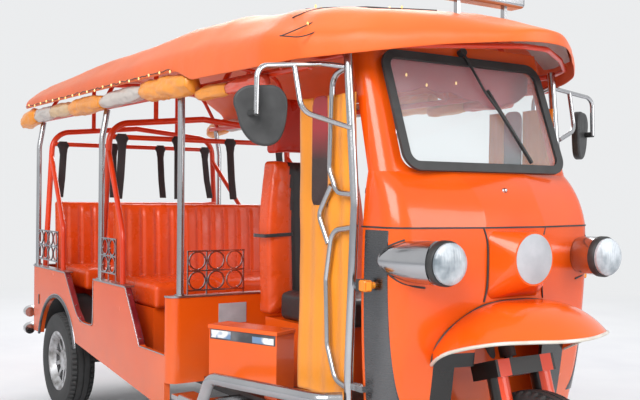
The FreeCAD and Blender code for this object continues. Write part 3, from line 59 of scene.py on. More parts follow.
class Pen:
    """Short ways to add, set and link the nodes of a material or a sky."""

    def __init__(self, owner):
        owner.use_nodes = True
        self.owner, self.nodes = owner, owner.node_tree.nodes
        self.link = owner.node_tree.links.new

    def node(self, kind, **settings):
        item = self.nodes.new("ShaderNode" + kind)
        for key, value in settings.items():
            if key in item.inputs:
                self.put(value, item.inputs[key])
            else:
                setattr(item, key, value)
        return item

    def put(self, value, place):
        """Gives a socket a number, a colour or a link."""
        if isinstance(value, bpy.types.NodeSocket):
            self.link(value, place)
        else:
            place.default_value = value

    def feed(self, **values):
        """Sets the shader's sockets, with _ for a space in their names."""
        for name, value in values.items():
            self.put(value, self.nodes["Principled BSDF"].inputs[name.replace("_", " ")])

    def axis(self, name, vector=None):
        """One axis of a vector, or of the object's own coordinates."""
        return self.node("SeparateXYZ", Vector=vector or self.place()).outputs[name]

    def place(self):
        return self.node("TexCoord").outputs["Object"]

    def grain(self, scale, detail=4.0, stretch=(1, 1, 1)):
        scaled = self.node("Mapping", Scale=stretch, Vector=self.place())
        return self.node("TexNoise", Scale=scale, Detail=detail,
                         Vector=scaled.outputs["Vector"]).outputs["Fac"]

    def waves(self, direction, scale):
        return self.node("TexWave", Scale=scale, bands_direction=direction,
                         Vector=self.place()).outputs["Fac"]

    def blend(self, driver, dark, pale, low=0.35, high=0.65):
        """Two colours, or two numbers, mixed by a pattern."""
        ramp = self.node("ValToRGB", Fac=driver)
        for stop, at, value in zip(ramp.color_ramp.elements, (low, high), (dark, pale)):
            stop.position = at
            stop.color = (*value, 1) if isinstance(value, tuple) else (value,) * 3 + (1,)
        return ramp.outputs["Color"]

    def mix(self, factor, first, second):
        """A colour fading into another by a factor."""
        mixed = self.node("Mix", data_type="RGBA")
        self.link(factor, mixed.inputs["Factor"])
        self.link(first, mixed.inputs[6])
        mixed.inputs[7].default_value = (*second, 1)
        return mixed.outputs[2]

    def spread(self, value, start, end, least=0.0, most=1.0):
        """A value's way from start to end, as a number from least to most."""
        limits = {"From Min": start, "From Max": end, "To Min": least, "To Max": most}
        return self.node("MapRange", Value=value, **limits).outputs["Result"]

    def math(self, operation, *values):
        """A sum on sockets and numbers."""
        worked = self.node("Math", operation=operation)
        for place, value in zip(worked.inputs, values):
            self.put(value, place)
        return worked.outputs["Value"]

    def bump(self, height, strength, distance):
        """Relief from a pattern's height."""
        relief = self.node("Bump", Strength=strength, Distance=distance, Height=height)
        self.feed(Normal=relief.outputs["Normal"])


def new_pen(name):
    return Pen(bpy.data.materials.new(name))


def surface(name, colour, rough, relief=None, **fixed):
    """A finish whose colour, roughness and relief each follow a pattern.

    A pattern is noise, as scale, detail and stretch, or waves, as direction and scale.
    Colour is a pattern, two colours and its two limits; rough a number, or a pattern, two
    numbers and limits; relief a pattern, its strength and its distance.
    """
    pen = new_pen(name)
    drawn = {}

    def draw(pattern):
        if pattern not in drawn:
            kind = pen.waves if isinstance(pattern[0], str) else pen.grain
            drawn[pattern] = kind(*pattern)
        return drawn[pattern]

    pen.feed(Base_Color=pen.blend(draw(colour[0]), *colour[1:]), **fixed)
    pen.feed(Roughness=pen.blend(draw(rough[0]), *rough[1:]) if isinstance(rough, tuple)
             else rough)
    if relief:
        pen.bump(draw(relief[0]), *relief[1:])
    return pen.owner


def shader_mix(pen, share, first, second):
    """Two shaders mixed by a share, as the pen owner's surface."""
    pick = pen.node("MixShader", Fac=share)
    pen.link(first, pick.inputs[1])
    pen.link(second, pick.inputs[2])
    kind = "World" if isinstance(pen.owner, bpy.types.World) else "Material"
    pen.link(pick.outputs["Shader"], pen.nodes[kind + " Output"].inputs["Surface"])


BACKDROP = {"Color": (0.86, 0.87, 0.88, 1), "Strength": 0.97}
bpy.ops.object.select_all(action="DESELECT")
bpy.ops.mesh.primitive_plane_add(size=160, location=(0, 0, 0))
floor = bpy.context.object
floor.name = "studio_floor"
pen = new_pen("studio_floor")
floor.data.materials.append(pen.owner)
pen.feed(Base_Color=pen.blend(pen.grain(1.3), (0.74, 0.74, 0.75), (0.80, 0.80, 0.80)),
         Roughness=0.7)
reach = pen.node("VectorMath", operation="LENGTH")
pen.link(pen.place(), reach.inputs[0])
shader_mix(pen, pen.math("MULTIPLY", pen.spread(reach.outputs["Value"], 3.6, 9.0),
                         pen.node("LightPath").outputs["Is Camera Ray"]),
           pen.nodes["Principled BSDF"].outputs["BSDF"],
           pen.node("Emission", **BACKDROP).outputs["Emission"])

sky = bpy.data.worlds.new("studio_sky")
bpy.context.scene.world = sky
pen = Pen(sky)
rays = pen.node("LightPath").outputs
straight = rays["Is Camera Ray"]
for ray in ("Is Glossy Ray", "Is Transmission Ray"):
    straight = pen.math("MAXIMUM", straight, rays[ray])
pen.nodes["Background"].inputs["Color"].default_value = (0.90, 0.93, 1.0, 1)
pen.nodes["Background"].inputs["Strength"].default_value = 0.62
shader_mix(pen, straight, pen.nodes["Background"].outputs["Background"],
           pen.node("Background", **BACKDROP).outputs["Background"])

for name, place, aim, size, power in (
        ("key_lamp", (4.2, -5.2, 5.4), (0.6, 0, 1.0), 4.5, 520),
        ("fill_lamp", (7.0, 2.5, 3.2), (0.9, 0, 1.0), 4.0, 200),
        ("back_lamp", (-6.0, 4.0, 5.5), (-0.5, 0, 1.0), 5.0, 380)):
    lamp = bpy.data.objects.new(name, bpy.data.lights.new(name, "AREA"))
    lamp.data.energy, lamp.data.size = power, size
    lamp.location = place
    lamp.rotation_euler = (Vector(aim) - Vector(place)).to_track_quat("-Z", "Y").to_euler()
    bpy.context.collection.objects.link(lamp)

# The chassis: box rails and cross tubes welded up and sprayed satin black, with the axle,
# its springs and the inner wheel housings in the same black, greyed by road dust.


def dress(finish, *names):
    """Gives CAD nodes their finish."""
    for name in names:
        item = nodes[name]
        if not item.material_slots:
            item.data.materials.append(finish)
        for place in item.material_slots:
            place.material = finish


ROAD_DUST = (6.0, 8.0)
dress(surface("underbody_black", (ROAD_DUST, (0.022, 0.022, 0.0231), (0.072, 0.067, 0.062),
                                  0.45, 0.85), (ROAD_DUST, 0.38, 0.72), ((180.0,), 0.25, 0.002)),
      "chassis_frame", "rear_axle", "leaf_springs", "wheel_housings", "battery_pack")


# The painted body: pressed and welded steel in a glossy two-coat orange, a little deeper in
# the shade, with faint orange peel, polishing haze and road film near the ground.


def orange_paint(name, deep=(0.72, 0.078, 0.003), bright=(0.86, 0.120, 0.006), gloss=0.16,
                 painted_shade_where=None):
    """Orange paint, with painted shade: black where every named measure lies under its limit."""
    pen = new_pen(name)
    film, height = pen.grain(9.0, 8.0), pen.axis("Z")
    dirt = pen.math("MULTIPLY", pen.spread(height, 0.30, 0.75, 0.42, 0.0), film)
    paint = pen.mix(dirt, pen.blend(pen.grain(0.9, 6.0), deep, bright), (0.24, 0.16, 0.11))
    if painted_shade_where:
        across = pen.math("ABSOLUTE", pen.axis("Y"))
        sources = {"across": across, "height": height,
                   "tube": pen.math("COMPARE", across, 0.104, 0.028)}
        # Painted shade: where every limit holds, the paint turns near black.
        dark = 1.0
        for source, limit in painted_shade_where.items():
            dark = pen.math("MULTIPLY", pen.math("LESS_THAN", sources[source], limit), dark)
        paint = pen.mix(dark, paint, (0.012, 0.011, 0.010))
    pen.feed(Base_Color=paint, Roughness=pen.spread(film, 0, 1, gloss, gloss + 0.16),
             Coat_Weight=0.35, Specular_IOR_Level=0.35, Coat_Roughness=0.05)
    pen.bump(pen.grain(420.0, 2.0), 0.04, 0.001)
    return pen.owner


body_orange = orange_paint("body_orange")
dress(body_orange, "side_panels", "front_partition", "rear_panel", "bench_bases",
      "driver_seat_base", "cab_upper_shell", "nose_cap", "front_mudguard", "footwell_panel",
      "leaflet_box")
# The lower shell is painted black below the mudguard and between the fork, as painted shade in the
# wheel house.
dress(orange_paint("lower_shell_orange_painted_shade", painted_shade_where={"across": 0.326, "height": 0.76}),
      "cab_lower_shell")

# Polished stainless: posts, capping, grab tubes, guards, bumper, corner panels and the lamp
# shells, drawn bright along their length with fine scratches and soft water marks.


def stainless(name, tone=0.50, rough=0.10):
    streak, marks = (26.0, 6.0, (1, 1, 12)), (5.0, 6.0)
    return surface(name, (marks, (tone * 0.86, tone * 0.87, tone * 0.9), (tone, tone, tone * 1.02)),
                   (streak, rough, rough + 0.2, 0, 1), (streak, 0.05, 0.001), Metallic=1.0)


bright_steel = stainless("bright_stainless")
dress(bright_steel, "roof_posts", "grab_frames", "side_guards", "rear_bumper", "scroll_rails",
      "handlebar", "headlamp_shells", "roof_lamp")
dress(stainless("brushed_stainless", 0.48, 0.2), "rail_capping", "plate_holder")
dress(stainless("dark_stainless", 0.15, 0.16), "corner_panels")

# Red-orange tube: the roll hoops, roof frame and front fork, sprayed without much care, so
# the gloss is uneven.

TUBE_COAT = (0.60, 0.035, 0.006), (0.80, 0.062, 0.010), 0.24
dress(orange_paint("tube_orange", *TUBE_COAT), "roll_hoops", "roof_frame")
# The fork is painted black away from its two tubes, as painted shade on the crossbar under the
# mudguard.
dress(orange_paint("fork_orange_painted_shade", *TUBE_COAT, {"tube": 0.5}), "front_fork")

# Floor: ribbed dark rubber matting over the painted pan

dress(surface("floor_mat", ((7.0, 8.0), (0.025, 0.024, 0.024), (0.11, 0.085, 0.07), 0.4, 0.8),
              0.6, (("Y", 32.0), 0.6, 0.003)), "floor_pan")

# Glass, seal, plastics and lamps
# The windscreen is laminated glass in a thick black rubber seal, with one wiper from its top.


def clear_glass(name, tint, rough=0.02, alpha=0.16):
    smear = (3.0, 6.0)
    return surface(name, (smear, tint, tuple(min(1, t * 1.06) for t in tint)),
                   (smear, rough, rough + 0.08, 0, 1), Alpha=alpha, Specular_IOR_Level=0.9)


def rubber(name, tone=0.018, rough=0.42):
    bloom = (14.0, 6.0)
    return surface(name, (bloom, (tone,) * 3, (tone * 2.2,) * 3), (bloom, rough, rough + 0.2),
                   ((300.0,), 0.12, 0.001))


dress(clear_glass("screen_glass", (0.62, 0.72, 0.74)), "windscreen_glass")
dress(clear_glass("lamp_glass", (0.86, 0.88, 0.9), 0.04, 0.35), "headlamp_lenses")


def window_painted_light_and_shade(name):
    """Wavy plastic painted dark, as painted shade of the cab behind it, turning red towards the top
    as painted red light.
    """
    pen = new_pen(name)
    waves = pen.grain(9.0, 3.0)
    pen.feed(Base_Color=pen.blend(pen.spread(pen.axis("Z"), 1.40, 1.60), (0.035, 0.012, 0.010),
                                  (0.36, 0.014, 0.020), 0.2, 0.8),
             Roughness=pen.blend(waves, 0.08, 0.22))
    pen.bump(waves, 0.5, 0.006)
    return pen.owner


dress(window_painted_light_and_shade("window_painted_light_and_shade"), "curtain_windows")
dress(rubber("black_rubber"), "windscreen_seal", "seam_welt")
dress(rubber("grained_plastic", 0.018, 0.42), "wiper", "dash_shelf", "mirror_heads")

for name, deep, bright, node_name in (
        ("amber_lens", (0.70, 0.16, 0.01), (0.95, 0.32, 0.02), "indicators"),
        ("red_lens", (0.30, 0.006, 0.006), (0.62, 0.015, 0.012), "tail_lamps")):
    dress(surface(name, (("X", 40.0), deep, bright), 0.12, (("X", 40.0), 0.4, 0.002)), node_name)

# The canopy: one sheet of coated orange canvas, stretched over five bows and a rounded
# visor hoop, sewn in panels with a hem, and painted paler on top: a painted highlight.

CANOPY = [
    # station x, half width, skirt height, shoulder height, crown height
    (-2.050, 0.722, 1.843, 1.884, 2.055), (-1.200, 0.722, 1.843, 1.905, 2.105),
    (0.330, 0.722, 1.843, 1.912, 2.140), (0.480, 0.722, 1.790, 1.912, 2.135),
    (1.090, 0.735, 1.778, 1.885, 2.065), (1.250, 0.691, 1.790, 1.877, 2.045),
    (1.450, 0.566, 1.802, 1.869, 2.005), (1.640, 0.331, 1.830, 1.869, 1.950),
    (1.825, 0.088, 1.842, 1.867, 1.888)]
ARCH = [
    # share of the half width, share of the fall from crown to shoulder
    (0, 0), (0.35, 0.117), (0.65, 0.217), (0.72, 0.265), (0.78, 0.335), (0.83, 0.43),
    (0.87, 0.563), (0.95, 0.83), (0.985, 0.955), (1, 1.10)]
BOWS = (-2.05, -1.874, -0.8515, 0.178, 0.600, 1.070)


def canopy_station(x):
    """Half width, skirt, shoulder and crown of the canopy at a station."""
    for rear, front in zip(CANOPY, CANOPY[1:]):
        if x <= front[0]:
            break
    share = min(1, max(0, (x - rear[0]) / (front[0] - rear[0])))
    return [a + share * (b - a) for a, b in zip(rear[1:], front[1:])]


def canopy_height(x, y):
    """Height of the sheet above a point."""
    half, skirt, shoulder, crown = canopy_station(x)
    part = min(1, abs(y) / half)
    for low, high in zip(ARCH, ARCH[1:]):
        if part <= high[0]:
            break
    share = (part - low[0]) / (high[0] - low[0])
    return crown - (crown - shoulder) * (low[1] + share * (high[1] - low[1]))


def canopy_point(x, s):
    """Distance from the middle line and height of the sheet at s from 0, crown, to 1, skirt."""
    half, skirt, shoulder, crown = canopy_station(x)
    line = [Vector((a * half, crown - b * (crown - shoulder))) for a, b in ARCH]
    line.append(Vector((half, skirt)))
    steps = [(b - a).length for a, b in zip(line, line[1:])]
    along = min(s, 0.9999) * sum(steps)
    for a, b, step in zip(line, line[1:], steps):
        if along <= step:
            break
        along -= step
    return a.lerp(b, min(1, along / step))


def slack(x, s):
    """How far the canvas hangs between two bows."""
    for rear, front in zip(BOWS, BOWS[1:]):
        if x <= front:
            t = max(0, (x - rear) / (front - rear))
            return 0.011 * math.sin(math.pi * t) * (1 - s ** 3)
    return 0.0


def ripple(p, size, depth):
    """Small folds that follow no grid."""
    return noise.noise(p * size) * depth


def mesh_piece(name, points, faces, finish):
    """A smooth mesh object at the origin."""
    data = bpy.data.meshes.new(name)
    data.from_pydata([tuple(p) for p in points], [], faces)
    data.validate()
    piece = bpy.data.objects.new(name, data)
    bpy.context.collection.objects.link(piece)
    data.materials.append(finish)
    data.shade_smooth()
    return piece


def grid_faces(rows, cols, turned_over=False):
    """Four-cornered faces between the points of a grid, row after row."""
    quads = [(i * cols + j, (i + 1) * cols + j, (i + 1) * cols + j + 1, i * cols + j + 1)
             for i in range(rows - 1) for j in range(cols - 1)]
    return [quad[::-1] for quad in quads] if turned_over else quads


def fit(piece, body="chassis"):
    """Rides a piece on a body."""
    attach(piece, body)


def apply_modifier(piece, kind, **settings):
    """Adds a modifier to a piece and applies it."""
    bpy.ops.object.select_all(action="DESELECT")
    bpy.context.view_layer.objects.active = piece
    piece.select_set(True)
    added = piece.modifiers.new(kind.lower(), kind)
    for key, value in settings.items():
        setattr(added, key, value)
    bpy.ops.object.modifier_apply(modifier=added.name)


def canvas(name, colour, pale, weave=520.0, sheen=0.25):
    """Coated cloth: fine weave, folds that catch the light and a painted highlight, paler on faces
    turned up.
    """
    pen = new_pen(name)
    cloud = pen.grain(2.4, 6.0)
    # Painted highlight: faces that turn up are mixed towards the pale colour, mottled by the cloud
    # noise.
    upward = pen.axis("Z", pen.node("NewGeometry").outputs["Normal"])
    painted_top_highlight = pen.math("MULTIPLY", pen.spread(upward, 0.55, 1.0, 0.0, 0.65), cloud)
    base = pen.blend(cloud, tuple(c * 0.86 for c in colour), colour)
    pen.feed(Base_Color=pen.mix(painted_top_highlight, base, pale), Roughness=0.46, Sheen_Weight=sheen)
    woven = pen.math("MAXIMUM", pen.waves("X", weave / 6.28), pen.waves("Y", weave / 6.28))
    pen.bump(pen.math("MULTIPLY_ADD", woven, 0.12, pen.grain(16.0, 5.0)), 0.35, 0.004)
    return pen.owner


VISOR_X = 1.090


def visor_reach(angle):
    """How far the visor's edge lies from its centre in a direction."""
    near, far = 0.0, 0.735
    for _ in range(30):
        middle = (near + far) / 2
        x, y = VISOR_X + middle * math.cos(angle), middle * abs(math.sin(angle))
        near, far = (middle, far) if y <= canopy_station(x)[0] else (near, middle)
    return near


def visor_point(angle, reach, s, inset=0.0):
    """A point of the visor at s from 0, its centre, to 1, the lower edge."""
    half, skirt, shoulder, crown = canopy_station(VISOR_X)
    y, z = canopy_point(VISOR_X, s)
    part = y / half
    out = part * (reach - inset)
    x, y = VISOR_X + out * math.cos(angle), out * math.sin(angle)
    brim = shoulder - 0.10 * (crown - shoulder)
    if z >= brim:
        return Vector((x, y, canopy_height(x, y) - inset))
    edge = canopy_height(x, y)
    return Vector((x, y, edge + (canopy_station(x)[1] - edge) * (brim - z) / (brim - skirt)))


# The pale peach is the painted highlight on the canopy's upward faces.
orange_canvas = canvas("orange_canvas", (0.84, 0.125, 0.008), (0.93, 0.40, 0.16), sheen=0.08)
rows, half_cols, turns = 90, 26, 48
points = []
for i in range(rows):
    x = -2.046 + (VISOR_X + 2.046) * i / (rows - 1)
    for j in range(-half_cols, half_cols + 1):
        s = abs(j) / half_cols
        y, z = canopy_point(x, s)
        here = Vector((x, math.copysign(y, j), z))
        here.z -= slack(x, s)
        fold = ripple(Vector((x * 1.0, here.y, z * 2)), 7.0, 0.0045)
        here.z += fold * (1 - s ** 4)
        here.y -= math.copysign(abs(fold) * s ** 4, j)
        near_end = max(0, 1 - (x + 2.046) / 0.30)
        here.x += 0.080 * s ** 6 * near_end
        here.z -= 0.012 * near_end ** 3 * (1 - s)
        points.append(here)
wide = 2 * half_cols + 1
faces = grid_faces(rows, wide)
last = (rows - 1) * wide
reaches = [visor_reach(-math.pi / 2 + math.pi * k / turns) for k in range(turns + 1)]
for _ in range(3):
    reaches = [reaches[0]] + [(a + 2 * b + c) / 4 for a, b, c in zip(
        reaches, reaches[1:], reaches[2:])] + [reaches[-1]]
ring_start = {}
for k in range(1, turns):
    angle = -math.pi / 2 + math.pi * k / turns
    for j in range(1, half_cols + 1):
        s = j / half_cols
        here = visor_point(angle, reaches[k], s)
        fold = ripple(here, 7.0, 0.004)
        pleat = 0.005 * math.sin(11 * angle + 2) * max(0, s - 0.45)
        push = abs(fold) * s ** 4 + abs(pleat) * (s > 0.9)
        ring_start[k, j] = len(points)
        points.append(here + Vector((-push * math.cos(angle), -push * math.sin(angle),
                                     (fold + pleat) * (1 - s ** 6))))


def dome_index(k, j):
    if j == 0:
        return last + half_cols
    if k == 0:
        return last + half_cols - j
    if k == turns:
        return last + half_cols + j
    return ring_start[k, j]


for k in range(turns):
    for j in range(half_cols):
        a, b = dome_index(k, j), dome_index(k, j + 1)
        c, d = dome_index(k + 1, j + 1), dome_index(k + 1, j)
        faces.append((a, b, c) if j == 0 else (a, b, c, d))
canopy = mesh_piece("canopy", points, faces, orange_canvas)
apply_modifier(canopy, "SOLIDIFY", thickness=0.003, offset=-1)
apply_modifier(canopy, "SUBSURF", levels=1, render_levels=1)
fit(canopy)
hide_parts("roof_canopy")


# Curtain rolls: the side curtains rolled up under the roof's edge, yellow-orange vinyl by
# turns with clear, sandy and red plastic, lumpy and creased, and drawn in where it is tied.

# The pale yellow is the painted highlight on upward faces of the rolls.
yellow_vinyl = canvas("yellow_vinyl", (0.88, 0.30, 0.018), (0.95, 0.48, 0.16), 900.0, 0.1)
yellow_vinyl.node_tree.nodes["Principled BSDF"].inputs["Roughness"].default_value = 0.32
clear_plastic = clear_glass("rolled_plastic", (0.52, 0.46, 0.41), 0.22, 1.0)
sandy_plastic = clear_glass("sandy_plastic", (0.62, 0.40, 0.20), 0.24, 1.0)
red_plastic = clear_glass("red_plastic", (0.66, 0.075, 0.035), 0.14, 1.0)
REAR_ROLL, FRONT_ROLL = (0.6799, 1.792, 0.0445), (0.6530, 1.742, 0.0295)


def rolled(name, side, start, end, finish, fill, seed):
    """One length of a roll: a lumpy tube, drawn in where it is tied."""
    around, along = 40, max(8, int((end - start) / 0.012))
    middle_y, middle_z, thick = REAR_ROLL if start < 0.32 else FRONT_ROLL
    points, faces = [], []
    for i in range(along + 1):
        x = start + (end - start) * i / along
        t = i / along
        pinch = 1 - 0.22 * math.exp(-(t * 9) ** 2) - 0.22 * math.exp(-((1 - t) * 9) ** 2)
        for j in range(around):
            angle = 2 * math.pi * j / around
            turn = Vector((math.cos(angle), math.sin(angle), 0))
            lump = noise.noise(Vector((x * 9 + seed, turn.x * 1.6, turn.y * 1.6)))
            fine = noise.noise(Vector((x * 30 + seed, turn.x * 4, turn.y * 4)))
            crease = abs(math.sin(2.5 * angle + x * 13 + 2 * lump)) ** 0.5 - 0.7
            radius = thick * fill * pinch * (1 + 0.20 * lump + 0.07 * fine + 0.10 * crease)
            drop = 0.004 * math.sin(x * 5 + seed) - 0.022 * max(0, (-1.93 - x) / 0.17)
            points.append((x, side * (middle_y + radius * turn.x * 0.92),
                           middle_z + drop + radius * turn.y * 1.05))
    for i in range(along):
        for j in range(around):
            a, b = i * around + j, i * around + (j + 1) % around
            ring = (a, b, b + around, a + around)
            faces.append(ring if side > 0 else ring[::-1])
    points += [(start, side * middle_y, middle_z), (end, side * middle_y, middle_z)]
    for j in range(around):
        k = (j + 1) % around
        caps = [(len(points) - 2, k, j), (len(points) - 1, along * around + j, along * around + k)]
        faces += caps if side > 0 else [c[::-1] for c in caps]
    piece = mesh_piece(name, points, faces, finish)
    fit(piece)
    return piece


ROLL_RUNS = [
    # start x, end x, fill, sheet
    (-2.100, -1.845, 1.14, yellow_vinyl), (-1.840, -1.520, 0.90, clear_plastic),
    (-1.515, -1.160, 0.84, sandy_plastic), (-1.155, -0.665, 1.02, yellow_vinyl),
    (-0.660, -0.105, 0.86, clear_plastic), (-0.100, 0.420, 1.12, yellow_vinyl),
    (0.425, 0.690, 0.95, yellow_vinyl), (0.695, 0.998, 0.95, red_plastic)]
for side, side_name in ((-1, "right"), (1, "left")):
    for number, (start, end, fill, sheet) in enumerate(ROLL_RUNS, 1):
        roll = rolled(f"curtain_roll_{side_name}_{number}", side, start, end, sheet, fill,
                      side * 3.7)
        if number == 1 and side < 0:
            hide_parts("curtain_rolls")

# Cab curtains: yellow-orange vinyl let down beside the driver, hanging in soft upright
# folds behind the grab frames, each with a clear window sewn in.

for side, side_name in ((-1, "right"), (1, "left")):
    across, down = 60, 96
    points, faces = [], []
    for i in range(down + 1):
        z = 0.562 + (1.678 - 0.562) * i / down
        for j in range(across + 1):
            x = 1.014 + (1.382 - 1.014) * j / across
            fold = 0.006 * math.sin(j * 0.42 + 0.6 * math.sin(z * 4)) * (0.5 + 0.5 * i / down)
            fold += ripple(Vector((x * 2, side, z)), 5.0, 0.006)
            points.append((x, side * (0.5037 + fold), z))
    for i in range(down):
        for j in range(across):
            a = i * (across + 1) + j
            x, z = points[a][0], points[a][2]
            if 1.10 < x < 1.205 and 1.27 < z < 1.67:
                continue
            quad = (a, a + 1, a + across + 2, a + across + 1)
            faces.append(quad if side < 0 else quad[::-1])
    curtain = mesh_piece("cab_curtain_" + side_name, points, faces, yellow_vinyl)
    apply_modifier(curtain, "SOLIDIFY", thickness=0.002, offset=0)
    fit(curtain)
    if side < 0:
        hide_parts("cab_curtains")

# Benches: foam in glossy orange vinyl, the backs sewn in upright channels, the cushions
# crowned and rounded over at the front.


def vinyl(name, colour, rough=0.22):
    """Seat covering with a fine hide grain and soft creases."""
    pen = new_pen(name)
    pen.feed(Base_Color=pen.blend(pen.grain(2.0, 5.0), tuple(c * 0.82 for c in colour), colour),
             Roughness=pen.blend(pen.grain(12.0, 6.0), rough, rough + 0.16))
    hide = pen.node("TexVoronoi", Scale=260.0, Vector=pen.place()).outputs["Distance"]
    pen.bump(pen.math("MULTIPLY_ADD", hide, 0.25, pen.grain(22.0, 5.0)), 0.22, 0.003)
    return pen.owner


def block(name, low, high, soften=0.02, cuts=0):
    """A rounded block between two corners."""
    bpy.ops.object.select_all(action="DESELECT")
    middle = [(a + b) / 2 for a, b in zip(low, high)]
    bpy.ops.mesh.primitive_cube_add(size=1, location=(0, 0, 0))
    piece = bpy.context.object
    piece.name = name
    bpy.ops.object.mode_set(mode="EDIT")
    bpy.ops.mesh.select_all(action="SELECT")
    bpy.ops.transform.resize(value=[b - a for a, b in zip(low, high)])
    bpy.ops.transform.translate(value=middle)
    if cuts:
        bpy.ops.mesh.subdivide(number_cuts=cuts)
    bpy.ops.object.mode_set(mode="OBJECT")
    apply_modifier(piece, "BEVEL", width=soften, segments=4, limit_method="ANGLE")
    return piece


def stuff(piece, voxel, cap):
    """Fills a cover with foam: it swells under pressure, as far as the cap lets it."""
    apply_modifier(piece, "REMESH", mode="VOXEL", voxel_size=voxel)
    before = [point.co.copy() for point in piece.data.vertices]
    bpy.context.view_layer.objects.active = piece
    cloth = piece.modifiers.new("cloth", "CLOTH")
    cloth.settings.use_pressure = True
    cloth.settings.uniform_pressure_force = 4
    cloth.settings.effector_weights.gravity = 0
    for number in range(1, 21):
        bpy.context.scene.frame_set(number)
    bpy.ops.object.modifier_apply(modifier=cloth.name)
    bpy.context.scene.frame_set(1)
    for point, start in zip(piece.data.vertices, before):
        move = point.co - start
        if move.length > cap:
            point.co = start + move * (cap / move.length)
    piece.data.shade_smooth()


orange_vinyl = vinyl("orange_vinyl", (0.80, 0.082, 0.008))
black_vinyl = vinyl("black_vinyl", (0.028, 0.027, 0.028), 0.34)
BACK_X = {"middle": -0.720, "rear": -1.743}
BENCH_HALF, CUSHION_LOW, CUSHION_TOP, BACK_TOP = 0.590, 0.7305, 0.852, 1.267

cushion = block("bench_cushion", (BACK_X["middle"] + 0.012, -BENCH_HALF + 0.012, CUSHION_LOW),
                (BACK_X["middle"] + 0.510, BENCH_HALF - 0.012, CUSHION_TOP - 0.006), 0.035, 5)
stuff(cushion, 0.010, 0.012)
for point in cushion.data.vertices:
    co = point.co
    seam = min(abs(co.y - s) for s in (-0.197, 0.197))
    if co.z > CUSHION_LOW + 0.05:
        co.z -= 0.010 * math.exp(-(seam / 0.009) ** 2)
        from_crown = abs(co.x - (BACK_X["middle"] + 0.3))
        co.z += 0.010 * math.cos(co.y * 2.4) * max(0, 1 - from_crown / 0.3)
    co.z = max(co.z, CUSHION_LOW)
    co.x = max(co.x, BACK_X["middle"] + 0.001)

back = block("bench_back", (-0.095 + 0.010, -BENCH_HALF + 0.010, CUSHION_LOW + 0.004),
             (-0.010, BENCH_HALF - 0.010, BACK_TOP - 0.010), 0.03, 5)
stuff(back, 0.010, 0.012)
for point in back.data.vertices:
    co = point.co
    high = (co.z - CUSHION_TOP) / (BACK_TOP - CUSHION_TOP)
    inner = max(0, min(1, (0.56 - abs(co.y)) / 0.03)) * max(0, min(1, (0.93 - high) / 0.08))
    channel = abs((co.y / 0.085 + 0.5) % 1 - 0.5) * 0.085
    if co.x > -0.05 and high > 0:
        co.x -= 0.012 * math.exp(-(channel / 0.010) ** 2) * inner
    co.x -= 0.018 * max(0, high)

for row, back_x in BACK_X.items():
    for model, kind, shift in ((cushion, "cushion", back_x - BACK_X["middle"]),
                               (back, "back", back_x)):
        padded = bpy.data.objects.new(f"{row}_bench_{kind}", model.data.copy())
        bpy.context.collection.objects.link(padded)
        padded.data.transform(Matrix.Translation((shift, 0, 0)))
        padded.data.materials.clear()
        padded.data.materials.append(orange_vinyl)
        apply_modifier(padded, "SUBSURF", levels=1, render_levels=1)
        fit(padded)
        if row == "middle":
            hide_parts("bench_cushions" if kind == "cushion" else "bench_backs")
for model in (cushion, back):
    bpy.data.objects.remove(model)

# Driver's seat: a black cushion, and an orange back with a black centre panel between its
# bolsters.

seat = block("driver_cushion", (0.428, -0.250, 0.742), (0.884, 0.250, 0.862), 0.045, 5)
stuff(seat, 0.008, 0.012)
for point in seat.data.vertices:
    co = point.co
    if co.z > 0.80:
        co.z -= 0.016 * math.exp(-(co.y / 0.15) ** 4)
        co.z -= 0.008 * math.exp(-((abs(co.y) - 0.165) / 0.008) ** 2)
    co.z = max(co.z, 0.742)
backrest = block("driver_back", (-0.046, -0.290, 0.748), (0.052, 0.290, 1.474), 0.042, 5)
stuff(backrest, 0.008, 0.012)
for point in backrest.data.vertices:
    co = point.co
    high = (co.z - 0.748) / 0.70
    co.y *= 1 - 0.16 * max(0, high - 0.55) ** 1.5 * 3
    if co.x > 0:
        co.x -= 0.020 * math.exp(-(co.y / 0.14) ** 4)
        co.x -= 0.008 * math.exp(-((abs(co.y) - 0.155) / 0.008) ** 2)
    co.x += 0.360 - 0.042 * high
for padded, kind in ((seat, "driver_seat_cushion"), (backrest, "driver_seat_back")):
    padded.data.materials.clear()
    padded.data.materials.append(orange_vinyl)
    padded.data.materials.append(black_vinyl)
    for face in padded.data.polygons:
        if padded == seat or (abs(face.center.y) < 0.155 and face.normal.x > 0.3):
            face.material_index = 1
    apply_modifier(padded, "SUBSURF", levels=1, render_levels=1)
    fit(padded)
    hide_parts(kind)

# Seat belts: four black webbing straps at each row, hung from the belt bar by flared
# covers.


def strap(name, line, finish, thick=0.003, across=(0, 1, 0)):
    """Flat webbing along a line of (x, y, z, width) points."""
    side = Vector(across)
    points = []
    steps = 8
    rows = (len(line) - 1) * steps + 1
    for i in range(rows):
        k = min(i // steps, len(line) - 2)
        t = i / steps - k
        smooth = t * t * (3 - 2 * t)
        x, y, z = (line[k][n] + (line[k + 1][n] - line[k][n]) * t for n in range(3))
        width = line[k][3] + (line[k + 1][3] - line[k][3]) * smooth
        for j in range(5):
            points.append(Vector((x, y, z)) + side * width * (j / 4 - 0.5))
    piece = mesh_piece(name, points, grid_faces(rows, 5, True), finish)
    apply_modifier(piece, "SOLIDIFY", thickness=thick, offset=0)
    fit(piece)
    return piece


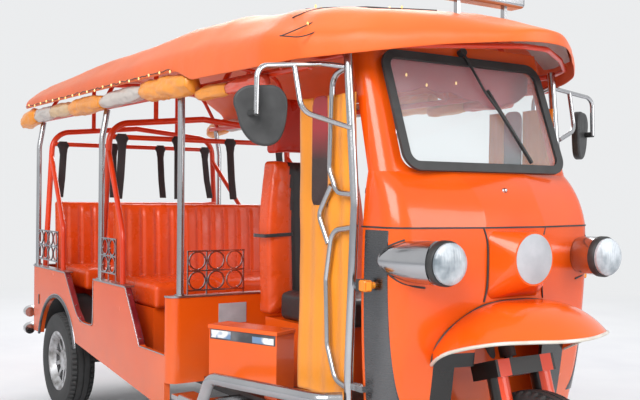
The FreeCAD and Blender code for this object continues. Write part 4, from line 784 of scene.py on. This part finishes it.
WEAVE = ("Z", 120.0)
belt_black = surface("belt_webbing", (WEAVE, (0.012, 0.012, 0.013), (0.03, 0.03, 0.032)), 0.7,
                     (WEAVE, 0.5, 0.001), Sheen_Weight=0.3)
for row, bar_x in (("rear", -1.8742), ("middle", -0.8515)):
    for number, y in enumerate((-0.51, -0.17, 0.17, 0.51), 1):
        lean = 0.02 * (number - 2.5)
        belt = strap(f"{row}_belt_{number}", [
            (bar_x + 0.016, y, 1.638, 0.050), (bar_x + 0.018, y, 1.612, 0.078),
            (bar_x + 0.018, y, 1.585, 0.056), (bar_x + 0.020, y, 1.548, 0.046),
            (bar_x + 0.030, y + lean * 0.4, 1.40, 0.046),
            (bar_x + 0.046, y + lean, 1.275, 0.046)], belt_black)
        if row == "rear" and number == 1:
            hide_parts("seat_belts")

# Tyres: black rubber with moulded sidewalls, three grooves round the tread and a cut
# across each shoulder lug.


def turned(name, profile, finish, count=64, capped=True):
    """A round piece along Z: a disc extruded through (distance, radius) pairs."""
    bpy.ops.object.select_all(action="DESELECT")
    bpy.ops.mesh.primitive_circle_add(vertices=count, radius=profile[0][1], location=(0, 0, 0),
                                      fill_type="NGON" if capped else "NOTHING")
    piece = bpy.context.object
    piece.name = name
    bpy.ops.object.mode_set(mode="EDIT")
    bpy.ops.mesh.select_all(action="SELECT")
    bpy.ops.transform.translate(value=(0, 0, profile[0][0]))
    for (low, narrow), (high, wide) in zip(profile, profile[1:]):
        if capped:
            bpy.ops.mesh.extrude_region_move(TRANSFORM_OT_translate={"value": (0, 0, high - low)})
        else:
            bpy.ops.mesh.extrude_edges_move(TRANSFORM_OT_translate={"value": (0, 0, high - low)})
        bpy.ops.transform.resize(value=(wide / narrow, wide / narrow, 1),
                                 center_override=(0, 0, high))
    bpy.ops.mesh.select_all(action="SELECT")
    bpy.ops.mesh.remove_doubles(threshold=0.00001)
    bpy.ops.mesh.normals_make_consistent(inside=False)
    bpy.ops.object.mode_set(mode="OBJECT")
    bpy.ops.object.shade_smooth_by_angle(angle=math.radians(35))
    piece.data.materials.append(finish)
    return piece


def stand(piece, centre, axis):
    """Turns a piece drawn along Z to an axis and moves it to its centre."""
    turn_to = Vector((0, 0, 1)).rotation_difference(Vector(axis)).to_matrix().to_4x4()
    piece.data.transform(Matrix.Translation(centre) @ turn_to)


tyre_rubber = rubber("tyre_rubber", 0.020, 0.6)
WHEELS = [
    # node, body, centre, outer radius, bead radius, width
    ("front_tyre", "front_wheel", (1.805, 0, 0.317), 0.317, 0.178, 0.110),
    ("rear_tyre_right", "rear_wheel_right", (-1.45, -0.601, 0.290), 0.290, 0.165, 0.150),
    ("rear_tyre_left", "rear_wheel_left", (-1.45, 0.601, 0.290), 0.290, 0.165, 0.150)]
for node_name, body, centre, outer, bead_at, width in WHEELS:
    half, wall = width / 2, outer - bead_at
    side_line = [(0.82, bead_at + 0.002), (0.84, bead_at + 0.016), (0.90, bead_at + 0.10 * wall),
                 (0.915, bead_at + 0.12 * wall), (0.965, bead_at + 0.27 * wall),
                 (1.0, bead_at + 0.47 * wall), (0.985, outer - 0.30 * wall),
                 (0.95, outer - 0.18 * wall), (0.955, outer - 0.165 * wall),
                 (0.87, outer - 0.011), (0.79, outer - 0.006)]
    tread = [(0.56, outer - 0.002), (0.54, outer - 0.009), (0.46, outer - 0.009),
             (0.44, outer - 0.001), (0.07, outer), (0.05, outer - 0.007)]
    one_side = [(-s * half, r) for s, r in side_line + tread]
    profile = one_side + [(-a, r) for a, r in one_side[::-1]]
    inner = [(0.70 * half, bead_at), (0.8 * half, bead_at + 0.5 * wall), (0, outer - 0.02),
             (-0.8 * half, bead_at + 0.5 * wall), (-0.70 * half, bead_at), profile[0]]
    tyre = turned("dressed_" + node_name, profile + inner, tyre_rubber, 168, False)
    bpy.context.view_layer.objects.active = tyre
    bpy.ops.object.mode_set(mode="EDIT")
    bpy.ops.mesh.select_all(action="DESELECT")
    shape = bmesh.from_edit_mesh(tyre.data)
    bpy.context.tool_settings.mesh_select_mode = (False, False, True)
    for face in shape.faces:
        middle = face.calc_center_median()
        reach = math.hypot(middle.x, middle.y)
        turn = math.atan2(middle.y, middle.x) % (2 * math.pi)
        step = int(round(turn / (2 * math.pi / 168) - 0.5))
        face.select_set(reach > outer - 0.012 and 0.56 * half < abs(middle.z) < 0.9 * half
                        and step % 3 == (0 if middle.z > 0 else 1))
    bmesh.update_edit_mesh(tyre.data)
    bpy.ops.mesh.extrude_region_shrink_fatten(TRANSFORM_OT_shrink_fatten={"value": -0.006})
    bpy.ops.object.mode_set(mode="OBJECT")
    stand(tyre, centre, (0, 1, 0))
    fit(tyre, body)
    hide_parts(node_name)

ALLOY_DUST = (18.0, 8.0)
dress(surface("cast_alloy", (ALLOY_DUST, (0.20, 0.19, 0.18), (0.58, 0.58, 0.59), 0.3, 0.6),
              (ALLOY_DUST, 0.55, 0.28), ((240.0,), 0.2, 0.001), Metallic=0.9),
      "front_rim", "rear_rim_right", "rear_rim_left")

# Head rest over the driver's back, a deep padded block of the same vinyl, painted darker red as
# painted shade, and the black band strapped round the back's right bolster.

rest = block("driver_head_rest", (0.268, -0.235, 1.500), (0.352, 0.235, 1.770), 0.035, 5)
stuff(rest, 0.009, 0.010)
rest.data.materials.clear()
rest.data.materials.append(vinyl("orange_vinyl_painted_shade", (0.62, 0.028, 0.008), 0.26))
apply_modifier(rest, "SUBSURF", levels=1, render_levels=1)
fit(rest)
strap("driver_back_band", [(0.300, -0.304, 1.118, 0.016), (0.404, -0.303, 1.118, 0.016),
                           (0.409, -0.230, 1.122, 0.016), (0.398, -0.150, 1.124, 0.016)],
      belt_black, 0.003, (0, 0, 1))

# Entry trims: dark red plastic strips screwed on the sloping edges of the tub sides, and
# bright beading round the outer corner of each entry.


def wire(name, line, radius, finish, slot):
    """A bent rod or bead along a line of points."""
    data = bpy.data.curves.new(name, "CURVE")
    data.dimensions, data.use_fill_caps = "3D", True
    data.bevel_depth, data.bevel_resolution, data.resolution_u = radius, 3, 8
    run = data.splines.new("NURBS")
    run.points.add(len(line) - 1)
    for point, spot in zip(run.points, line):
        point.co = (*spot, 1)
    run.order_u, run.use_endpoint_u = 3, True
    piece = bpy.data.objects.new(name, data)
    bpy.context.collection.objects.link(piece)
    bpy.ops.object.select_all(action="DESELECT")
    piece.select_set(True)
    bpy.context.view_layer.objects.active = piece
    bpy.ops.object.convert(target="MESH")
    piece = bpy.context.object
    piece.data.materials.clear()
    piece.data.materials.append(finish)
    piece.data.shade_smooth()
    fit(piece)


def worn_plastic(name, deep, pale, rough):
    scuff = (11.0, 8.0)
    return surface(name, (scuff, deep, pale, 0.4, 0.8), (scuff, rough, rough + 0.25),
                   ((160.0,), 0.15, 0.001))


def turned_part(name, profile, finish, centre, axis, count, capped=True):
    """A round piece stood on an axis."""
    piece = turned(name, profile, finish, count, capped)
    stand(piece, centre, axis)
    fit(piece)
    return piece


def small_block(name, low, high, soften, finish, placed=None):
    """A rounded block with its finish."""
    piece = block(name, low, high, soften)
    if placed:
        piece.data.transform(placed)
    piece.data.materials.append(finish)
    fit(piece)


SIDES = (-1, "right"), (1, "left")
TUB_FACE = 0.6815
strip_red = worn_plastic("strip_red", (0.15, 0.006, 0.010), (0.32, 0.02, 0.02), 0.3)
trim_dark = worn_plastic("trim_dark", (0.05, 0.05, 0.055), (0.20, 0.20, 0.21), 0.3)
EDGES = {"door": [(-0.335, 0.830), (-0.148, 0.566)],
         "rear": [(-1.278, 0.831), (-1.095, 0.638), (-1.008, 0.581)]}
BEADS = {"door": [(-0.345, 0.834), (-0.338, 0.834), (-0.338, 0.834), (-0.151, 0.567),
                  (-0.151, 0.567), (0.146, 0.567)],
         "rear": [(-1.290, 0.834), (-1.281, 0.834), (-1.281, 0.834), (-1.097, 0.638),
                  (-1.010, 0.580), (-0.820, 0.580), (-0.801, 0.600), (-0.801, 0.828)]}
SCREWS = {"door": [(0.12, 1), (0.88, 1)], "rear": [(0.14, 1), (0.9, 1), (0.7, 2)]}
for side, side_name in SIDES:
    for entry, edge in EDGES.items():
        strap(f"{entry}_edge_strip_{side_name}", [(x, side * 0.666, z, 0.033) for x, z in edge],
              strip_red, 0.004)
        wire(f"{entry}_edge_bead_{side_name}", [(x, side * TUB_FACE, z) for x, z in BEADS[entry]],
             0.0028, bright_steel, "stainless")
        for number, (share, leg) in enumerate(SCREWS[entry], 1):
            (x0, z0), (x1, z1) = edge[leg - 1], edge[leg]
            normal = Vector((z0 - z1, 0, x1 - x0)) / math.hypot(x1 - x0, z1 - z0)
            spot = Vector((x0 + share * (x1 - x0), side * 0.668, z0 + share * (z1 - z0)))
            turned_part(f"{entry}_strip_screw_{side_name}_{number}",
                        [(0.0, 0.0050), (0.0022, 0.0046), (0.0030, 0.0025)], bright_steel,
                        spot + normal * 0.002, normal, 14)

# Wheel-arch lips: a dark rolled flange round each rear arch with a bright bead outside it

ARCH_X, ARCH_Z = -1.435, 0.330
turns = [math.radians(14 + 152 * k / 40) for k in range(41)]
for side, side_name in SIDES:
    for part, reach, y, radius, finish, slot in (
            ("lip", 0.349, 0.682, 0.0085, trim_dark, "rubber"),
            ("bead", 0.362, TUB_FACE, 0.0035, bright_steel, "stainless")):
        wire(f"arch_{part}_{side_name}", [
            (ARCH_X + reach * math.cos(a), side * y, ARCH_Z + reach * math.sin(a))
            for a in turns], radius, finish, slot)
    small_block("side_slot_" + side_name, (-1.793, side * 0.6825 - 0.0015, 0.598),
                (-1.780, side * 0.6825 + 0.0015, 0.659), 0.0012, trim_dark)

# Blank grey plate on the partition's front face, bare metal with rounded corners

small_block("partition_plate", (0.2003, -0.433, 0.700), (0.2035, -0.286, 0.795), 0.0012,
            worn_plastic("plate_grey_metal", (0.36, 0.36, 0.38), (0.52, 0.52, 0.54), 0.4))

# Leaflet box lid: an orange slab over the box, with a slot under it and leaflets inside

leaflets = surface("leaflets", ((22.0, 1.0), (0.16, 0.26, 0.42), (0.78, 0.78, 0.76), 0.42, 0.50),
                   0.35, ((60.0, 2.0, (1, 1, 0.2)), 0.4, 0.002))
box_turn = Matrix.Translation((0.557, -0.660, 0)) @ Matrix.Rotation(math.radians(21.5), 4, "Z")
for name, low, high, soften, finish, slot in (
        ("leaflet_box_lid", (-0.004, -0.007, 0.742), (0.364, 0.122, 0.760), 0.004, body_orange,
         "body_paint"),
        ("leaflet_slot", (0.006, -0.0015, 0.700), (0.352, 0.0005, 0.742), 0.0014, trim_dark,
         "black_plastic"),
        ("leaflets_near", (0.014, -0.004, 0.706), (0.120, -0.001, 0.738), 0.0014, leaflets,
         "plate_grey"),
        ("leaflets_far", (0.235, -0.004, 0.704), (0.345, -0.001, 0.730), 0.0014, leaflets,
         "plate_grey")):
    small_block(name, low, high, soften, finish, box_turn)

# Nose seams: black rubber beading between the nose, its centre cap and the mudguard, a pale
# lip along the mudguard, the cap's blank grey disc and the screen washer's nozzle.

black_bead = rubber("black_bead", 0.016, 0.4)
GUARD_SEAM = [(1.6085, 0.3360, 0.7262), (1.6115, 0.3365, 0.7490), (1.6195, 0.3255, 0.7930),
              (1.6330, 0.2895, 0.8415), (1.6460, 0.2460, 0.8755), (1.6590, 0.2005, 0.9050),
              (1.6705, 0.1570, 0.9265), (1.6730, 0.1050, 0.9350), (1.6735, 0.0600, 0.9385),
              (1.6740, 0.0143, 0.9395)]
CAP_SEAM = [(1.6705, -0.155, 1.1975), (1.6735, -0.141, 1.165), (1.6745, -0.1365, 1.120),
            (1.6745, -0.1365, 1.020), (1.6720, -0.139, 0.975), (1.6680, -0.148, 0.938)]
GUARD_LIP = [(1.6072, 0.3345, 0.7250), (1.6367, 0.3510, 0.7425), (1.7030, 0.3655, 0.7787),
             (1.7710, 0.3450, 0.8040), (1.8267, 0.3095, 0.8197), (1.8699, 0.2650, 0.8299),
             (1.9080, 0.2150, 0.8335), (1.9346, 0.1590, 0.8350), (1.9532, 0.1050, 0.8335),
             (1.9650, 0.0350, 0.8325)]


def mirrored_line(line):
    """The same line on the other side of the vehicle."""
    return [(x, -y, z) for x, y, z in line]


wire("mudguard_seam", mirrored_line(GUARD_SEAM) + GUARD_SEAM[::-1][1:], 0.0042, black_bead,
     "rubber")
wire("cap_seam_right", CAP_SEAM, 0.0036, black_bead, "rubber")
wire("cap_seam_left", mirrored_line(CAP_SEAM), 0.0026, black_bead, "rubber")
wire("mudguard_lip", mirrored_line(GUARD_LIP) + GUARD_LIP[::-1], 0.0062,
     worn_plastic("cream_lip", (0.58, 0.52, 0.44), (0.80, 0.78, 0.72), 0.28), "body_paint")
turned_part("cap_disc", [(0.0, 0.0885), (0.0012, 0.0885), (0.0018, 0.0870)],
            worn_plastic("disc_grey", (0.36, 0.37, 0.39), (0.50, 0.50, 0.52), 0.34),
            (1.7642, 0.0, 1.0915), (1, 0, 0), 72)
turned_part("washer_nozzle", [(0.0, 0.0095), (0.004, 0.0095), (0.007, 0.0070), (0.012, 0.0065),
                              (0.015, 0.0035)], bright_steel,
            (1.6095, 0.002, 1.331), (0.97, 0, 0.24), 24)

# Headlamps: each chrome shell ends in a tapered tail on the nose, with a rubber seam round
# it, and carries a thick black ring and a frosted, ribbed lens.

LAMP_Z = 1.087
LAMP_SEAM = [(1.620, 0.378, 0.995), (1.606, 0.441, 1.003), (1.582, 0.479, 1.024),
             (1.546, 0.504, 1.060), (1.530, 0.507, 1.092), (1.545, 0.504, 1.124),
             (1.581, 0.481, 1.149), (1.602, 0.454, 1.160)]
FLUTES = ("Y", 28.0)
lens_frost = surface("frosted_lens", ((12.0, 3.0), (0.16, 0.19, 0.21), (0.58, 0.62, 0.65),
                                      0.3, 0.62), (FLUTES, 0.10, 0.26), (FLUTES, 0.35, 0.002))
for side, side_name in SIDES:
    turned_part("headlamp_tail_" + side_name, [
        (0.0, 0.010), (0.012, 0.028), (0.040, 0.047), (0.085, 0.062), (0.140, 0.0705),
        (0.200, 0.0735), (0.244, 0.0735)], bright_steel,
        (1.478, side * 0.478, LAMP_Z), (0.248, -side * 0.078, 0), 72)
    turned_part("headlamp_ring_" + side_name, [
        (0.0, 0.0725), (0.004, 0.0770), (0.024, 0.0770), (0.030, 0.0735), (0.030, 0.0660),
        (0.0, 0.0660), (0.0, 0.0725)], black_bead,
        (1.7265, side * 0.3935, LAMP_Z), (1, 0, 0), 72, False)
    lens = turned_part("headlamp_lens_" + side_name, [
        (0.0, 0.0660), (0.008, 0.0700), (0.018, 0.0700), (0.026, 0.0640), (0.033, 0.0480),
        (0.037, 0.0260), (0.038, 0.0080)], lens_frost,
        (1.750, side * 0.3930, LAMP_Z), (1, 0, 0), 72)
    if side < 0:
        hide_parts("headlamp_lenses")
    wire("headlamp_seam_" + side_name, [(x, side * y, z) for x, y, z in LAMP_SEAM], 0.0038,
         black_bead, "rubber")
    small_block("indicator_back_" + side_name, (1.4695, side * 0.546 - 0.0185, 0.9785),
                (1.4905, side * 0.546 + 0.0185, 1.0215), 0.004, black_bead)

# Screen valance: a red sheet hung across the top of the windscreen inside the cab, its lower
# edge cut in scallops, with a few small warm bulbs on it.

VALANCE = [(-0.43, 1.690), (-0.321, 1.694), (-0.118, 1.726), (0.063, 1.701), (0.237, 1.669),
           (0.330, 1.690), (0.43, 1.738)]
across, down = 110, 14
points = []
for i in range(across + 1):
    y = -0.43 + 0.86 * i / across
    for a, b in zip(VALANCE, VALANCE[1:]):
        if y <= b[0]:
            break
    edge = a[1] + (b[1] - a[1]) * (y - a[0]) / (b[0] - a[0])
    edge -= 0.012 * abs(math.sin(y * 21)) - 0.006
    for j in range(down + 1):
        t = j / down
        points.append((1.315 + 0.008 * math.sin(y * 26) * (1 - t * 0.6), y,
                       edge + (1.825 - edge) * t))
# The valance's paler red is painted highlight, on faces that turn up.
valance = mesh_piece("screen_valance", points, grid_faces(across + 1, down + 1),
                     canvas("valance_red", (0.50, 0.010, 0.022), (0.62, 0.03, 0.04), 900.0, 0.1))
apply_modifier(valance, "SOLIDIFY", thickness=0.0015, offset=0)
fit(valance)

bulb_warm = surface("warm_bulb", ((40.0, 2.0), (0.80, 0.42, 0.10), (0.95, 0.78, 0.42)), 0.2,
                    Emission_Color=(1.0, 0.62, 0.22, 1), Emission_Strength=0.9)
bpy.ops.object.select_all(action="DESELECT")
bpy.ops.mesh.primitive_uv_sphere_add(segments=8, ring_count=6, radius=0.0042, location=(0, 0, 0))
bulb = bpy.context.object
bulb.data.transform(Matrix.Diagonal((1, 1, 1.7, 1)))


def bulbs(name, spots):
    """Small bulbs at a list of spots, as one piece."""
    points, faces = [], []
    for spot in spots:
        start = len(points)
        points += [point.co + Vector(spot) for point in bulb.data.vertices]
        faces += [[start + index for index in face.vertices] for face in bulb.data.polygons]
    fit(mesh_piece(name, points, faces, bulb_warm))


bulbs("valance_bulbs", [(1.330, -0.235, 1.765), (1.330, -0.135, 1.734), (1.330, 0.015, 1.752)])

# Fairy lights: a thin black lead with small warm bulbs, clipped all along both side hems and
# in zigzags over the front of the roof.

LEAD = 0.0022, black_bead, "black_plastic"
for side, side_name in SIDES:
    line = []
    for k in range(76):
        x = -1.94 + 2.24 * k / 75
        y, z = canopy_point(x, 0.985)
        wobble = noise.noise(Vector((k * 0.9, side * 4.0, 0)))
        line.append((x, side * (y + 0.0055 + 0.004 * abs(wobble)), z + 0.014 * wobble))
    wire("hem_light_lead_" + side_name, line, *LEAD)
    bulbs("hem_lights_" + side_name, [(x, y + side * 0.005, z - 0.004) for x, y, z in line[3::4]])
line = []
for k in range(80):
    x = 0.26 + 1.10 * k / 79
    y = min(-0.45 + (x - 0.26) * 1.05, -0.10) + 0.03 * noise.noise(Vector((k * 0.8, 7, 0)))
    y -= max(0, x - 0.66) * 0.55 * (1 + math.sin(k * 0.62))
    line.append((x, y, canopy_height(x, y) + 0.0035))
wire("roof_light_lead", line, *LEAD)
bulbs("roof_lights", [(x, y, z + 0.004) for x, y, z in line[2::5]])
bpy.data.objects.remove(bulb)

# Visor lining: off-white vinyl under the peak, with a round black speaker let into it

points = []
steps, fan, gap = 18, 44, 0.020
for k in range(fan + 1):
    angle = math.radians(-84 + 168 * k / fan)
    reach = visor_reach(angle)
    for j in range(steps + 1):
        here = visor_point(angle, reach, 0.02 + 0.86 * j / steps, gap)
        points.append(here + Vector((0, 0, -0.004 - 0.006 * abs(noise.noise(here * 6)))))
# The lining's paler white is painted highlight, on faces that turn up.
lining = mesh_piece("visor_lining", points, grid_faces(fan + 1, steps + 1),
                    canvas("lining_white", (0.56, 0.53, 0.50), (0.70, 0.67, 0.63), 900.0, 0.05))
apply_modifier(lining, "SOLIDIFY", thickness=0.0015, offset=0)
fit(lining)
turned_part("visor_speaker", [(0.0, 0.058), (0.010, 0.062), (0.016, 0.060), (0.018, 0.050),
                              (0.012, 0.044), (0.009, 0.020), (0.012, 0.012)], black_bead,
            (1.400, 0.150, canopy_height(1.400, 0.150) - 0.024),
            (0.12, 0.05, -1), 48)
